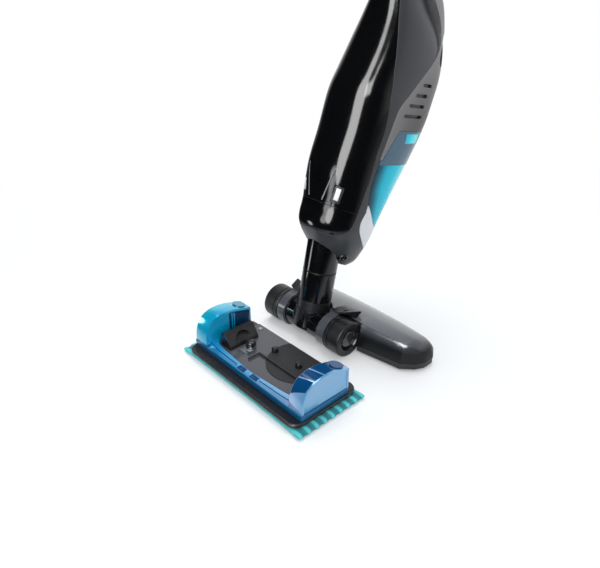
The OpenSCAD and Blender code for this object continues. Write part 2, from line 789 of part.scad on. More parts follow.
// Fender that sweeps outwards over the wheel's inner shoulder
fender = [[-3, 8, 24.4], [5.5, 11, 26.6], [16, 31, 24.6], [15, 24, 19.5], [-3, 33, 18.5]];
module fender_blade(grow = 0) hull() for (p = fender)
    translate([arm_out + p[0], p[1], axle_z + p[2]]) sphere(r = 1.2 + grow, $fn = 12);
module hinge_arm() difference() {
    union() {
        arm_plate();
        fender_blade();
    }
    translate([0, 0, axle_z]) rotate([0, 90, 0]) cylinder(r = axle_r + run, h = far, center = true);
}
module hinge_arm_right() placed() color("#54565b") hinge_arm();
module hinge_arm_left() placed() color("#54565b") mirror([1, 0, 0]) hinge_arm();

// Air way from the brush chamber back to the neck
duct_w = 36;
duct_low = 14;
duct_high = 34;
tube_gap = 3.5;
module nozzle_cover() color("#3b3d41") on_nozzle() difference() {
    nozzle_form();
    difference() {
        nozzle_form(nozzle_wall);
        arch_cut(nozzle_wall);
    }
    arch_cut();
    translate([-nozzle_x, 0, 0]) {
        both_sides() {
            arm_plate(fit);
            fender_blade(fit);
        }
        translate([-duct_w / 2, 0, duct_low]) cube([duct_w, 40, duct_high - duct_low]);
        // Relief for the tube, which leans over the nozzle
        translate([0, 0, axle_z]) rotate([-lean, 0, 0]) cylinder(r = tube_r + tube_gap, h = far);
    }
}
floor_t = 2.5;
bearing_w = 8;
bearing_d = 14;
post_d = 7;
lip_h = 9;
module nozzle_base() color("#242528") on_nozzle() difference() {
    union() {
        difference() {
            translate([0, 0, sole_z]) linear_extrude(nozzle_seam - sole_z - fit / 2) polygon(plan(0.4));
            translate([0, 0, sole_z + floor_t]) linear_extrude(far) polygon(plan(0.4 + nozzle_wall));
        }
        intersection() {
            translate([0, 0, sole_z]) linear_extrude(far) polygon(plan(nozzle_wall + 1.4));
            union() {
                // Bearing blocks for the brush roll's stubs
                for (x = [-1, 1]) translate([x * (brush_len / 2 + 1.5 + bearing_w / 2), brush_y, 0])
                    translate([-bearing_w / 2, -bearing_d / 2, 0])
                        cube([bearing_w, bearing_d, brush_z + 6]);
                // Cradle under the brush motor
                translate([motor_x + 3, motor_y - 5, 0]) cube([motor_can_len - 8, 10, motor_z - 3]);
                // Lip behind the brush window
                translate([-half_w, window_rear - 2, 0]) cube([nozzle_w, 2, sole_z + lip_h]);
                // Housings of the front rollers
                for (x = [-1, 1]) translate([x * roller_x, roller_y, 0])
                    translate([-roller_w / 2 - 3.6, -roller_r - 2.6, 0])
                        cube([roller_w + 7.2, 2 * roller_r + 4, 2 * roller_r + 3]);
            }
        }
        // Wall of the arch, up to the seam
        intersection() {
            arch_cut(nozzle_wall);
            translate([0, 0, sole_z]) linear_extrude(nozzle_seam - sole_z - fit / 2) polygon(plan(0.4));
        }
        // Posts that carry the hinge arms
        for (side = [-1, 1])
            translate([side * (arm_in + arm_out) / 2 - nozzle_x, arm_front - post_d / 2,
                       (sole_z + arm_foot) / 2])
                cube([arm_out - arm_in, post_d, arm_foot - sole_z], center = true);
    }
    arch_cut();
    // Brush window
    translate([-brush_len / 2 - 1.5, window_rear, 0]) cube([brush_len + 3, 2 * brush_r + 3, 50]);
    across(0, brush_y, brush_z) cylinder(r = stub_r + run, h = nozzle_w, center = true);
    across(0, motor_y, motor_z) cylinder(r = motor_can_r, h = nozzle_w, center = true);
    roller_pockets();
}

// ---------- inside the nozzle ----------

brush_in = 26;
brush_y = nozzle_front - brush_in;
brush_z = brush_r + 2;
window_rear = brush_y - brush_r - 2;
core_r = 10;
bristle_rows = 4;
bristle_t = 3;
brush_turn = 160;
// Bearing stubs at both ends of the brush roll
stub_r = 3;
stub_len = 8;
groove_deep = 1.5;
module across(x, y, z) translate([x, y, z]) rotate([0, 90, 0]) children();
module brush_core() color("#8a8f94") on_nozzle() across(-brush_len / 2, brush_y, brush_z) difference() {
    union() {
        cylinder(r = core_r, h = brush_len);
        translate([0, 0, -stub_len]) cylinder(r = stub_r, h = brush_len + 2 * stub_len);
    }
    // Belt groove at the driven end
    translate([0, 0, brush_len - belt_w - 3]) difference() {
        cylinder(r = core_r + 1, h = belt_w + 1);
        cylinder(r = core_r - groove_deep, h = belt_w + 1);
    }
}
module brush_bristles() color("#1e6fb8") on_nozzle() across(-brush_len / 2, brush_y, brush_z)
    linear_extrude(brush_len - belt_w - 8, twist = brush_turn, slices = 12, $fn = 8)
        for (i = [0 : bristle_rows - 1]) rotate(360 / bristle_rows * i)
            translate([core_r + 0.25, -bristle_t / 2]) square([brush_r - core_r - 0.25, bristle_t]);

// Motor and belt
belt_w = 6;
belt_t = 1.2;
motor_can_r = 7.5;
motor_can_len = 26;
motor_x = 39;
motor_z = 27;
pulley_r = 4;
pulley_x = brush_len / 2 - belt_w - 2.5;
// The motor lies as near the rear wall as its pulley allows
rear_room = 12;
motor_y = rear_at(pulley_x + belt_w) + rear_room;
motor_shaft_r = 1.2;
shaft_in = 8;
flange = 1.1;
teeth = 12;
module brush_motor() color("#a8acb0") on_nozzle() across(motor_x, motor_y, motor_z) difference() {
    union() {
        cylinder(r = motor_can_r, h = motor_can_len);
        translate([0, 0, motor_can_len]) cylinder(r = 3.4, h = 1.5);
        translate([0, 0, -2]) cylinder(r = 5, h = 3);
    }
    translate([0, 0, motor_can_len - shaft_in]) cylinder(r = motor_shaft_r + run, h = far);
}
// Toothed pulley on the motor's shaft
module motor_pulley() color("#d8d8d0") on_nozzle() across(pulley_x, motor_y, motor_z) difference() {
    union() {
        cylinder(r = pulley_r, h = belt_w);
        for (z = [-0.6, belt_w]) translate([0, 0, z]) cylinder(r = pulley_r + flange, h = 0.6);
        translate([0, 0, motor_x + motor_can_len - shaft_in + 0.5 - pulley_x])
            cylinder(r = motor_shaft_r, h = pulley_x + belt_w - motor_x - motor_can_len + shaft_in);
    }
    for (i = [0 : teeth - 1]) rotate(360 / teeth * i) translate([pulley_r, 0, 0])
        cylinder(r = 0.45, h = belt_w, $fn = 16);
}
module belt_outline(grow) hull() {
    translate([-motor_z, motor_y]) circle(pulley_r + grow, $fn = 32);
    translate([-brush_z, brush_y]) circle(core_r - groove_deep + grow, $fn = 32);
}
module drive_belt() color("#151515") on_nozzle() rotate([0, 90, 0])
    translate([0, 0, pulley_x + 0.4]) linear_extrude(belt_w - 0.8) difference() {
        belt_outline(fit + belt_t);
        belt_outline(fit);
    }

// Small rollers under the nozzle's front, each on its own pin
roller_w = 12;
roller_x = half_w - 26;
roller_y = nozzle_front - 9;
pin_r = 1.5;
module at_roller(side) on_nozzle() across(side * roller_x - roller_w / 2, roller_y, roller_r) children();
module roller() difference() {
    rotate_extrude() polygon([[0, 0], [roller_r - 0.8, 0], [roller_r, 0.8], [roller_r, roller_w - 0.8],
                              [roller_r - 0.8, roller_w], [0, roller_w]]);
    translate([0, 0, -1]) cylinder(r = pin_r + run, h = roller_w + 2);
}
module front_roller_left() color("#4a4c50") at_roller(-1) roller();
module front_roller_right() color("#4a4c50") at_roller(1) roller();
module roller_pins() color("#b0b4b8") for (side = [-1, 1])
    at_roller(side) translate([0, 0, -3]) cylinder(r = pin_r, h = roller_w + 6);
module roller_pockets() for (side = [-1, 1]) {
    translate([side * roller_x - roller_w / 2 - 0.6, roller_y - roller_r - 1, 0])
        cube([roller_w + 1.2, 2 * roller_r + 2, roller_r * 2 + 1.5]);
    across(side * roller_x - roller_w / 2 - 3.2, roller_y, roller_r) cylinder(r = pin_r, h = roller_w + 6.4);
}

// ---------- wheels and neck ----------

hub_r = 17.4;
hub_deep = 5;
tread_r = 2.4;
axle_short = 4;
axle_out = wheel_x + wheel_w - hub_deep - axle_short;
module wheel_turn(side) placed() translate([side * wheel_x, 0, axle_z]) rotate([0, side * 90, 0]) children();
module tyre() rotate_extrude($fn = 72) difference() {
    union() {
        translate([hub_r, 0]) square([wheel_r - hub_r - tread_r, wheel_w]);
        translate([hub_r, tread_r]) square([wheel_r - hub_r, wheel_w - 2 * tread_r]);
        for (y = [tread_r, wheel_w - tread_r]) translate([wheel_r - tread_r, y]) circle(tread_r, $fn = 32);
    }
    // Narrow groove near the inner shoulder
    translate([wheel_r - 1, 6.2]) square([2, 1.2]);
}
module wheel_hub() difference() {
    rotate_extrude($fn = 72) polygon([
        [0, 1], [hub_r - 0.02, 1], [hub_r - 0.02, wheel_w - 0.6], [hub_r - 2, wheel_w - 0.6],
        [hub_r - 3.4, wheel_w - hub_deep + 0.6], [hub_r - 6, wheel_w - hub_deep - 0.8],
        [4.5, wheel_w - hub_deep + 1.2], [3, wheel_w - hub_deep + 1.6], [0, wheel_w - hub_deep + 1.6]]);
    translate([0, 0, -1]) cylinder(r = axle_r + run, h = axle_out - wheel_x + 1.2);
}
module tyre_left() color("#1b1c1d") wheel_turn(-1) tyre();
module tyre_right() color("#1b1c1d") wheel_turn(1) tyre();
module wheel_hub_left() color("#2a2b2e") wheel_turn(-1) wheel_hub();
module wheel_hub_right() color("#2a2b2e") wheel_turn(1) wheel_hub();

// Stub axles: one through each barrel end, hinge arm and wheel
axle_in = barrel_half - 12;
module stub_axles() placed() color("#c8ccd0") both_sides() translate([0, 0, axle_z]) rotate([0, 90, 0]) {
    translate([0, 0, axle_in]) cylinder(r = axle_r, h = axle_out - axle_in);
    translate([0, 0, axle_in - 2]) cylinder(r = axle_r + 2, h = 2);
}

// Hollow pivoting barrel that carries the tube
barrel_end = 9;
collar_out = 1.2;
neck_low = -9;
collar_low = 17.2;
window = [36, 26, 18];
module neck_barrel() color("#121315") on_tube() difference() {
    union() {
        translate([-barrel_half, 0, 0]) rotate([0, 90, 0]) cylinder(r = barrel_r, h = 2 * barrel_half, $fn = 72);
        translate([0, 0, neck_low]) cylinder(r = tube_r, h = tube_foot_s - neck_low, $fn = 64);
        translate([0, 0, collar_low - 3.4]) cylinder(r = tube_r + collar_out, h = 3.2, $fn = 64);
    }
    // Air way: the barrel's chamber, the tube and the window towards the nozzle
    translate([-barrel_half + barrel_end, 0, 0]) rotate([0, 90, 0])
        cylinder(r = barrel_r - tube_wall, h = 2 * (barrel_half - barrel_end));
    cylinder(r = tube_r - tube_wall, h = tube_foot_s + 1);
    rotate([lean, 0, 0]) translate([-window[0] / 2, 5, -window[2] / 2]) cube(window);
    rotate([0, 90, 0]) cylinder(r = axle_r + run, h = far, center = true);
    // Seat of the satin collar and its tongue
    translate([0, 0, collar_low - 0.15]) difference() {
        cylinder(r = tube_r + 5, h = far);
        translate([0, 0, -1]) cylinder(r = tube_r - tongue_t - run, h = far, $fn = 64);
    }
    intersection() {
        shield(0.15);
        difference() {
            translate([0, 0, neck_low - 5]) cylinder(r = tube_r + 5, h = far);
            translate([0, 0, neck_low - 6]) cylinder(r = tube_r - tongue_t - run, h = far, $fn = 64);
        }
    }
}
// Satin collar with a pointed tongue that hangs from it at the back
tongue_t = 1.2;
tongue_half = 11;
shield_turn = -20;
module shield(grow) rotate([0, 0, shield_turn]) rotate([90, 0, 0]) linear_extrude(far) polygon([
    [-tongue_half - grow, collar_low + 1], [-tongue_half * 0.94 - grow, 9], [-tongue_half * 0.75 - grow, 2],
    [-tongue_half * 0.4 - grow, -4], [0, neck_low + 0.6 - grow], [tongue_half * 0.4 + grow, -4],
    [tongue_half * 0.75 + grow, 2], [tongue_half * 0.94 + grow, 9], [tongue_half + grow, collar_low + 1]]);
module neck_tongue() color("#5b5e63") on_tube() {
    pipe(tube_r, tongue_t, collar_low, tube_foot_s);
    intersection() {
        shield(0);
        translate([0, 0, neck_low + 0.1]) difference() {
            cylinder(r = tube_r + collar_out, h = collar_low + 0.2 - neck_low, $fn = 64);
            translate([0, 0, -1]) cylinder(r = tube_r - tongue_t, h = far, $fn = 64);
        }
    }
}

// ---------- wet mop ----------

plate_over = 2.5;
plate_in = 4;
plate_w = tank_w + 2 * plate_over;
plate_d = pad_d - 2 * plate_in;
plate_t = 4.6;
tank_z = pad_t + plate_t;
cloth_corner = 10;
plate_corner = 14;
// Grip strips between the cloth and the plate
strip_t = 1;
strip_w = 30;
strip_share = 0.34;
module mop_cloth() color("#19a9b4") on_mop() rounded_plate(pad_w, pad_d, cloth_corner, pad_t - strip_t);
module grip_strips() color("#d0d4d6") on_mop() for (x = [-1, 0, 1])
    translate([x * plate_w * strip_share, 0, pad_t - strip_t]) rounded_plate(strip_w, plate_d - 16, 4, strip_t);
module mop_plate() color("#22262a") on_mop() translate([0, 0, pad_t])
    rounded_plate(plate_w, plate_d, plate_corner, plate_t);

// Tank frame: a tower at each end and a low rail along the front
tank_y = -1.6;
tank_wall = 2;
foot_h = 3.6;
foot_out = 0.6;
// Side view of a tower, from its front foot over the crown: step, ahead, up
tower_rows = [[0, -0.5, 0], [1, -0.484, 0.4], [2, -0.44, 0.667], [3, -0.35, 0.87],
              [4, -0.2, 0.98], [5, -0.03, 1], [6, 0.16, 0.96]];
tower_rear = 0.8;
function tower_arc(grow = 1) = concat(
    [for (i = [0 : 0.5 : 6]) [smooth(tower_rows, i, 1) * tank_d * grow,
                              smooth(tower_rows, i, 2) * tower_h * grow]],
    [[0.5 * tank_d * grow, tower_rear * tower_h * grow], [0.5 * tank_d * grow, 0]]);
// Slope of a tower's rear top, in degrees
cap_tilt = atan((0.96 - tower_rear) * tower_h / (0.34 * tank_d));
cap_y = 26;
cap_r = 8.5;
cap_h = 1.8;
plug_r = 6.5;
cap_z = tower_h * (tower_rear + (0.96 - tower_rear) * (0.5 * tank_d - cap_y) / (0.34 * tank_d));
module at_end(side) translate([side * tank_w / 2, 0, 0]) mirror([side > 0 ? 1 : 0, 0, 0]) along_x() children();
module at_cap(side) on_mop() translate([side * (tank_w / 2 - tower_t / 2), tank_y + cap_y, tank_z + cap_z])
    rotate([-cap_tilt, 0, 0]) children();
// Recessed panel with upright ribs, low at the rear of a tower's inner face
panel = [20, 25];
panel_y = 22;
panel_low = 9;
panel_deep = 1.2;
ribs = 6;
rib_pitch = panel[0] / (ribs + 1);
face_deep = 0.8;
face_edge = 3;
module tower(side) difference() {
    at_end(side) linear_extrude(tower_t) polygon(tower_arc());
    // Tank
    at_end(side) translate([0, tank_wall, tank_wall + face_deep])
        linear_extrude(tower_t - 2 * tank_wall - face_deep - panel_deep) polygon(tower_arc(0.91));
    // End face, let in behind a rim along the curved edge
    at_end(side) translate([0, foot_h, -1]) linear_extrude(1 + face_deep)
        polygon([for (p = tower_arc(1 - 2 * face_edge / tank_d)) [p[0], max(p[1] - foot_h + 0.5, 0)]]);
    at_end(side) translate([panel_y, panel_low + panel[1] / 2, tower_t - panel_deep])
        difference() {
            rounded_plate(panel[0], panel[1], 1, far);
            for (i = [1 : ribs]) translate([-panel[0] / 2 + i * rib_pitch - 0.7, -far / 2, 0])
                cube([1.4, far, panel_deep - 0.3]);
        }
}
// Rail along the front, lowest and narrowest at its waist: section at x
rail_h = 9;
rail_d = 14;
waist = 0.32;
flare = 8;
function rail_ring(x) =
    let (q = abs(x) / (tank_w / 2 - tower_t), d = rail_d * (1 - waist * (1 - q)) + flare * pow(q, 10),
         f = -tank_d / 2, h = rail_h * (0.8 + 0.2 * q))
    [[x, f, foot_h - 1], [x, f, foot_h], [x, f + 3 + d * 0.25, h], [x, f + d - 0.8, h + 0.6], [x, f + d, h - 0.4],
     [x, f + d, foot_h - 1]];
windows = [[-10, 9], [9, 9]];
window_d = 4.5;
module rail() difference() {
    loft([for (i = [-8 : 8]) rail_ring(i / 8 * (tank_w / 2 - tower_t + 1))]);
    for (w = windows) translate([w[0] - w[1] / 2, -tank_d / 2 + 3.2, foot_h]) cube([w[1], window_d, far]);
}
module tank_frame() color("#0f6fb0") on_mop() translate([0, tank_y, tank_z]) difference() {
    union() {
        for (side = [-1, 1]) tower(side);
        rail();
        // Foot that runs round the frame's outer edge
        linear_extrude(foot_h) difference() {
            translate([-tank_w / 2 - foot_out, -tank_d / 2 - foot_out])
                square([tank_w + 2 * foot_out, tank_d + foot_out]);
            translate([-tank_w / 2 + tower_t - 1, -tank_d / 2 + rail_d * (1 - waist)])
                square([tank_w - 2 * tower_t + 2, far]);
        }
    }
    // Filler bores
    for (side = [-1, 1]) translate([side * (tank_w / 2 - tower_t / 2), cap_y, cap_z])
        rotate([-cap_tilt, 0, 0]) translate([0, 0, -8]) cylinder(r = plug_r + run, h = far);
    // Seat of the water line
    translate([tank_w / 2 - tower_t - 1, line_y - tank_y, line_z - tank_z]) rotate([0, 90, 0])
        cylinder(r = line_r + run, h = 5);
}
module filler_cap(side) at_cap(side) {
    cylinder(r = cap_r, h = cap_h);
    translate([0, 0, -6]) cylinder(r = plug_r, h = 7);
}
module filler_cap_left() color("#0e7f96") filler_cap(-1);
module filler_cap_right() color("#0d3f70") filler_cap(1);

deck_t = 3.4;
deck_w = tank_w - 2 * tower_t - 1;
deck_front = -tank_d / 2 + tank_y + rail_d * (1 - waist) + fit;
deck_rear = 49.5;
deck_top = tank_z + deck_t;
module deck_plan() difference() {
    translate([-deck_w / 2, deck_front]) square([deck_w, deck_rear - deck_front]);
    // Clearance for the rail, which is deeper towards the towers
    polygon(concat([[-deck_w, deck_front - 5]],
        [for (i = [-8 : 8]) let (r = rail_ring(i / 8 * (tank_w / 2 - tower_t + 1))[4]) [r[0], r[1] + tank_y + fit]],
        [[deck_w, deck_front - 5]]));
}
module mop_deck() color("#6b6c74") on_mop() translate([0, 0, tank_z]) linear_extrude(deck_t) deck_plan();
// Round pad that the nozzle's sole rests on
disc_r = 42;
disc_in = 56;
disc_x = deck_w / 2 - disc_in;
disc_y = 30;
disc_t = 0.8;
module rest_disc() color("#333637") on_mop() translate([0, 0, deck_top]) linear_extrude(disc_t)
    intersection() {
        translate([disc_x, disc_y]) circle(disc_r, $fn = 96);
        translate([-far / 2, -far]) square([far, far + deck_rear - 0.5]);
    }
// Block with a sloping face and a scooped finger recess, near the left tower
block_gap = 6.5;
block_x = -(tank_w / 2 - tower_t) + block_gap;
block_y = -18;
block_d = 46;
block_h = 19;
block_w = 18;
block_ridge = 6.5;
block_toe = 5;
scoop_r = 13;
module latch_block() color("#141517") on_mop() translate([block_x, block_y, deck_top]) difference() {
    rotate([90, 0, 0]) translate([0, 0, -block_d]) linear_extrude(block_d)
        polygon([[0, 0], [0, block_h - 1], [1, block_h], [block_ridge, block_h],
                 [block_ridge + 2, block_h - 1.5], [block_w - 1, block_toe], [block_w, block_toe / 2],
                 [block_w, 0]]);
    translate([block_w - 0.5, block_d * 0.52, block_toe]) rotate([0, 30, 0]) cylinder(r = scoop_r, h = far);
}
// Valve in front of the block: seat, plate and pipe end
valve_ahead = 29;
valve_x = block_x + valve_ahead;
valve_y = 7;
valve_h = 3;
valve_r = 5;
valve_plate = [9, 13, 1.6];
valve_tap = [7, 6, 4];
module valve_seat() color("#b4b8bc") on_mop() translate([valve_x, valve_y, deck_top]) {
    cylinder(r = valve_r, h = valve_h);
    translate([-4, -16, 0]) cube(valve_plate);
    translate([5, -12, 0]) cube(valve_tap);
    translate([4, -10.5, 0]) cube([2, 3, valve_plate[2]]);
}
// Knob that turns on the valve's seat
knob_r = 6.8;
knob_h = 7;
module valve_knob() color("#26282b") on_mop() translate([valve_x, valve_y, deck_top + valve_h + run])
    rotate_extrude($fn = 64) polygon([[0, 0], [knob_r - 0.6, 0], [knob_r, 0.6], [knob_r, knob_h - 2.8],
        [knob_r - 0.7, knob_h - 1.2], [knob_r - 2.2, knob_h - 0.3], [knob_r - 3.8, knob_h], [0, knob_h]]);
stud_r = 4.5;
stud_h = 6;
stud_lead = 1.4;
stud_gap = 44.6;
stud_x = disc_x - 15.6;
stud_y = 23;
module locating_studs() color("#1a1b1d") on_mop() for (k = [-0.5, 0.5])
    translate([stud_x + k * stud_gap, stud_y, deck_top + disc_t]) {
        cylinder(r = stud_r, h = stud_h - stud_lead);
        translate([0, 0, stud_h - stud_lead]) cylinder(r1 = stud_r, r2 = stud_r - 1.8, h = stud_lead);
    }
// Water line from the valve to the right tower, with a bend near the valve
line_r = 1.2;
line_gap = 20;
line_y = 4.5;
line_x = valve_x + line_gap;
line_back = 18;
line_z = deck_top + disc_t + line_r + 0.1;
module water_line() color("#141517") on_mop() translate([line_x, line_y, line_z]) {
    rotate([0, 90, 0]) cylinder(r = line_r, h = tank_w / 2 - tower_t - line_x + 2);
    rotate([90, 0, 0]) cylinder(r = line_r, h = line_back);
    sphere(r = line_r);
}
// Screws near the deck's rear corners
screw_in = [11, 7.5];
screw_r = 3;
module deck_screws() color("#9a9ea2") on_mop() for (side = [-1, 1])
    translate([side * (deck_w / 2 - screw_in[0]), deck_rear - screw_in[1], deck_top])
        cylinder(r = screw_r, h = 1.2);

nozzle_cover();
nozzle_base();
hinge_arm_left();
hinge_arm_right();
stub_axles();
brush_core();
brush_bristles();
brush_motor();
motor_pulley();
drive_belt();
front_roller_left();
front_roller_right();
roller_pins();
tyre_left();
tyre_right();
wheel_hub_left();
wheel_hub_right();
neck_barrel();
neck_tongue();
lower_tube();
swivel_ring();
upper_tube();
cradle_shell();
back_cover();
boot_cover();
cup_gasket();
release_button_left();
release_button_right();
stem_tube();
stem_collar();
handle_loop();
handle_grip();
power_slider();
hand_shell_left();
hand_shell_right();
hand_bulkhead();
fan_motor();
fan_wheel();
battery_pack();
nose_cover();
dust_bin();
filter_frame();
filter_pleats();
bin_latch();
mop_cloth();
grip_strips();
mop_plate();
tank_frame();
mop_deck();
rest_disc();
latch_block();
valve_seat();
valve_knob();
locating_studs();
filler_cap_left();
filler_cap_right();
water_line();
deck_screws();
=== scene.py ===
import json
import math

import bmesh
import bpy
from mathutils import Matrix, Vector


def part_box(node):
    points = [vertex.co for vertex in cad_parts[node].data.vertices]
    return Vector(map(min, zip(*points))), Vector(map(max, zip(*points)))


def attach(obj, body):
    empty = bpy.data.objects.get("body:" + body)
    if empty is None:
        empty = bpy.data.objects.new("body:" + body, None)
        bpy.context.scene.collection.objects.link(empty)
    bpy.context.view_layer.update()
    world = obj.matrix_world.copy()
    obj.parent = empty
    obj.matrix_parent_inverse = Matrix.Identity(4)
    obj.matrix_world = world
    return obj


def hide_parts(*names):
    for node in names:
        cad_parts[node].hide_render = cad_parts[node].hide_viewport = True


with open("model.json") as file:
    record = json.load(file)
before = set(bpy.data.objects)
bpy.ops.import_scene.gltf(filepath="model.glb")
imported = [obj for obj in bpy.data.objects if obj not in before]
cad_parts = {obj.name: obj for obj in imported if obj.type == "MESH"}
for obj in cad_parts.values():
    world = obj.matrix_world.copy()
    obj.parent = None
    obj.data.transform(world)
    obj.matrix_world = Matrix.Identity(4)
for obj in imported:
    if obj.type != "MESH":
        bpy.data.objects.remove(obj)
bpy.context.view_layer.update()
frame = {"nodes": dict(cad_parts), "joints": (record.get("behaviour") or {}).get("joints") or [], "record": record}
JOINTS = {joint["name"]: joint for joint in frame["joints"]}
MM = 0.001
SIDES = ((1, "right"), (-1, "left"))
WHITE = (1.0, 1.0, 1.0)
DARK_CLOTH = (0.012, 0.012, 0.013)

# ---------- node helpers ----------


def feed(tree, value, socket):
    """Links a value to a socket, or sets it there if it is a colour or a number."""
    if isinstance(value, bpy.types.NodeSocket):
        tree.links.new(value, socket)
    else:
        socket.default_value = (*value, 1.0) if isinstance(value, tuple) else value


def add_node(tree, kind, *values, **settings):
    """New shader node with its settings, its first sockets fed in their order."""
    node = tree.nodes.new("ShaderNode" + kind)
    for name, setting in settings.items():
        setattr(node, name, setting)
    for value, socket in zip(values, node.inputs):
        feed(tree, value, socket)
    return node


def set_sockets(node, values):
    for name, value in values.items():
        node.inputs[name].default_value = value


def mix_colours(tree, share, one, other, how="MIX"):
    """One colour and another, each a socket or a tuple, mixed by a share."""
    mix = add_node(tree, "Mix", share, data_type="RGBA", blend_type=how)
    feed(tree, one, mix.inputs[6])
    feed(tree, other, mix.inputs[7])
    return mix.outputs[2]


def mix_shaders(tree, share, one, other):
    return add_node(tree, "MixShader", share, one.outputs[0], other.outputs[0])


def spread(tree, value, low, high, start=0.3, stop=0.7, soft=False):
    """Maps a pattern's start to stop onto low to high."""
    how = "SMOOTHSTEP" if soft else "LINEAR"
    return add_node(tree, "MapRange", value, start, stop, low, high, interpolation_type=how).outputs["Result"]


def product(tree, one, other):
    """One value times another, each a socket or a number."""
    return add_node(tree, "Math", one, other, operation="MULTIPLY").outputs[0]


def along(tree, where, axis):
    """How far a place lies along an axis."""
    return add_node(tree, "SeparateXYZ", where).outputs[axis]


def start_finish(name):
    """A new finish, its nodes, its shader and the place on the object."""
    finish = bpy.data.materials.new(name)
    finish.use_nodes = True
    tree = finish.node_tree
    return finish, tree, tree.nodes["Principled BSDF"], add_node(tree, "TexCoord").outputs["Object"]


# ---------- studio ----------

CAMERA_LENS = 35.3
CAMERA_SENSOR = 36.0
CAMERA_AT = Vector((454.6, -547.0, 459.6)) * MM
CAMERA_AIM = Vector((-148.4, 9.29, 0.0)) * MM
CLIP_NEAR, CLIP_FAR = 0.02, 60.0


def stand(thing, at, towards):
    """Puts a camera or a lamp in the studio, facing a point."""
    bpy.context.scene.collection.objects.link(thing)
    thing.location = at
    thing.rotation_euler = (Vector(towards) - Vector(at)).to_track_quat("-Z", "Y").to_euler()
    return thing


def set_up_camera():
    lens = bpy.data.cameras.new("studio_camera")
    lens.lens = CAMERA_LENS
    lens.sensor_width = CAMERA_SENSOR
    lens.clip_start, lens.clip_end = CLIP_NEAR, CLIP_FAR
    camera = bpy.data.objects.new("studio_camera", lens)
    bpy.context.scene.camera = stand(camera, CAMERA_AT, CAMERA_AIM)


def softbox(name, at, towards, width, height, watts, sheen_only=False):
    """Lamp with a soft face; a sheen-only one is a card that shows in gloss and lights nothing matt."""
    lamp = bpy.data.lights.new(name, "AREA")
    lamp.shape = "ELLIPSE" if sheen_only else "RECTANGLE"
    lamp.size, lamp.size_y = width, height
    lamp.energy = watts
    box = stand(bpy.data.objects.new(name, lamp), at, towards)
    box.visible_diffuse = not sheen_only
    box.visible_camera = False


def eye_rays(tree):
    """1 for the rays that see the backdrop: from the camera, off gloss and through clear plastic."""
    path = add_node(tree, "LightPath")
    seen = path.outputs["Is Camera Ray"]
    for kind in ("Is Glossy Ray", "Is Transmission Ray"):
        seen = add_node(tree, "Math", seen, path.outputs[kind], operation="MAXIMUM").outputs[0]
    return seen


# Where the backdrop's reflection fades in from front to back, and out from side to overhead
COVE_TURN = (-0.05, 0.5)
COVE_RISE = (0.45, 0.85)
COVE_TOP = 0.1
FILL_TINT = (0.93, 0.96, 1.0)
FILL_POWER = 0.72


def set_up_world():
    """White backdrop; gloss sees it pale behind and dark in front and overhead, and matt gets a fill."""
    world = bpy.data.worlds.new("cove")
    bpy.context.scene.world = world
    world.use_nodes = True
    tree = world.node_tree
    cove = tree.nodes["Background"]
    where = add_node(tree, "TexCoord").outputs["Generated"]
    pale = product(tree, spread(tree, along(tree, where, "Y"), 0.0, 1.0, *COVE_TURN, soft=True),
                   spread(tree, along(tree, where, "Z"), 1.0, COVE_TOP, *COVE_RISE, soft=True))
    glossy = add_node(tree, "LightPath").outputs["Is Glossy Ray"]
    behind = mix_colours(tree, pale, DARK_CLOTH, WHITE)
    feed(tree, mix_colours(tree, glossy, WHITE, behind), cove.inputs["Color"])
    fill = add_node(tree, "Background", FILL_TINT, FILL_POWER)
    seen = mix_shaders(tree, eye_rays(tree), fill, cove)
    feed(tree, seen.outputs[0], tree.nodes["World Output"].inputs["Surface"])


FLOOR_HALF = 12.0
FLOOR_TONE = (0.86, 0.865, 0.87)
FLOOR_ROUGH = 0.3
# Share of plain white over the floor's own tone, near the machine and far from it, and where those are
FLOOR_LIFT = (0.2, 1.0)
FLOOR_NEAR, FLOOR_FAR = 0.24, 0.95
# Black cloth laid on the floor in front, seen in gloss only: how far out it starts, and its turn to the side
FLAG_REACH = (0.22, 0.42)
FLAG_TURN = (0.05, 0.75)


def floor_paint():
    finish, tree, matt, where = start_finish("floor_paint")
    feed(tree, FLOOR_TONE, matt.inputs["Base Color"])
    matt.inputs["Roughness"].default_value = FLOOR_ROUGH
    reach = add_node(tree, "VectorMath", where, operation="LENGTH").outputs["Value"]
    whiter = spread(tree, reach, *FLOOR_LIFT, FLOOR_NEAR, FLOOR_FAR, soft=True)
    glow = add_node(tree, "Emission", WHITE)
    pale = mix_shaders(tree, product(tree, eye_rays(tree), whiter), matt, glow)
    turn = add_node(tree, "VectorMath", where, operation="NORMALIZE").outputs["Vector"]
    flag = product(tree, spread(tree, reach, 0.0, 1.0, *FLAG_REACH, soft=True),
                   spread(tree, along(tree, turn, "Y"), 1.0, 0.0, *FLAG_TURN, soft=True))
    glossy = add_node(tree, "LightPath").outputs["Is Glossy Ray"]
    black = add_node(tree, "Emission", DARK_CLOTH)
    done = mix_shaders(tree, product(tree, flag, glossy), pale, black)
    feed(tree, done.outputs[0], tree.nodes["Material Output"].inputs["Surface"])
    return finish


def set_up_floor():
    """Pale sweep that keeps the shadow and a faint sheen under the machine."""
    mesh = bpy.data.meshes.new("floor")
    sheet = bmesh.new()
    bmesh.ops.create_grid(sheet, x_segments=1, y_segments=1, size=FLOOR_HALF)
    sheet.to_mesh(mesh)
    sheet.free()
    mesh.materials.append(floor_paint())
    floor = bpy.data.objects.new("floor", mesh)
    bpy.context.scene.collection.objects.link(floor)


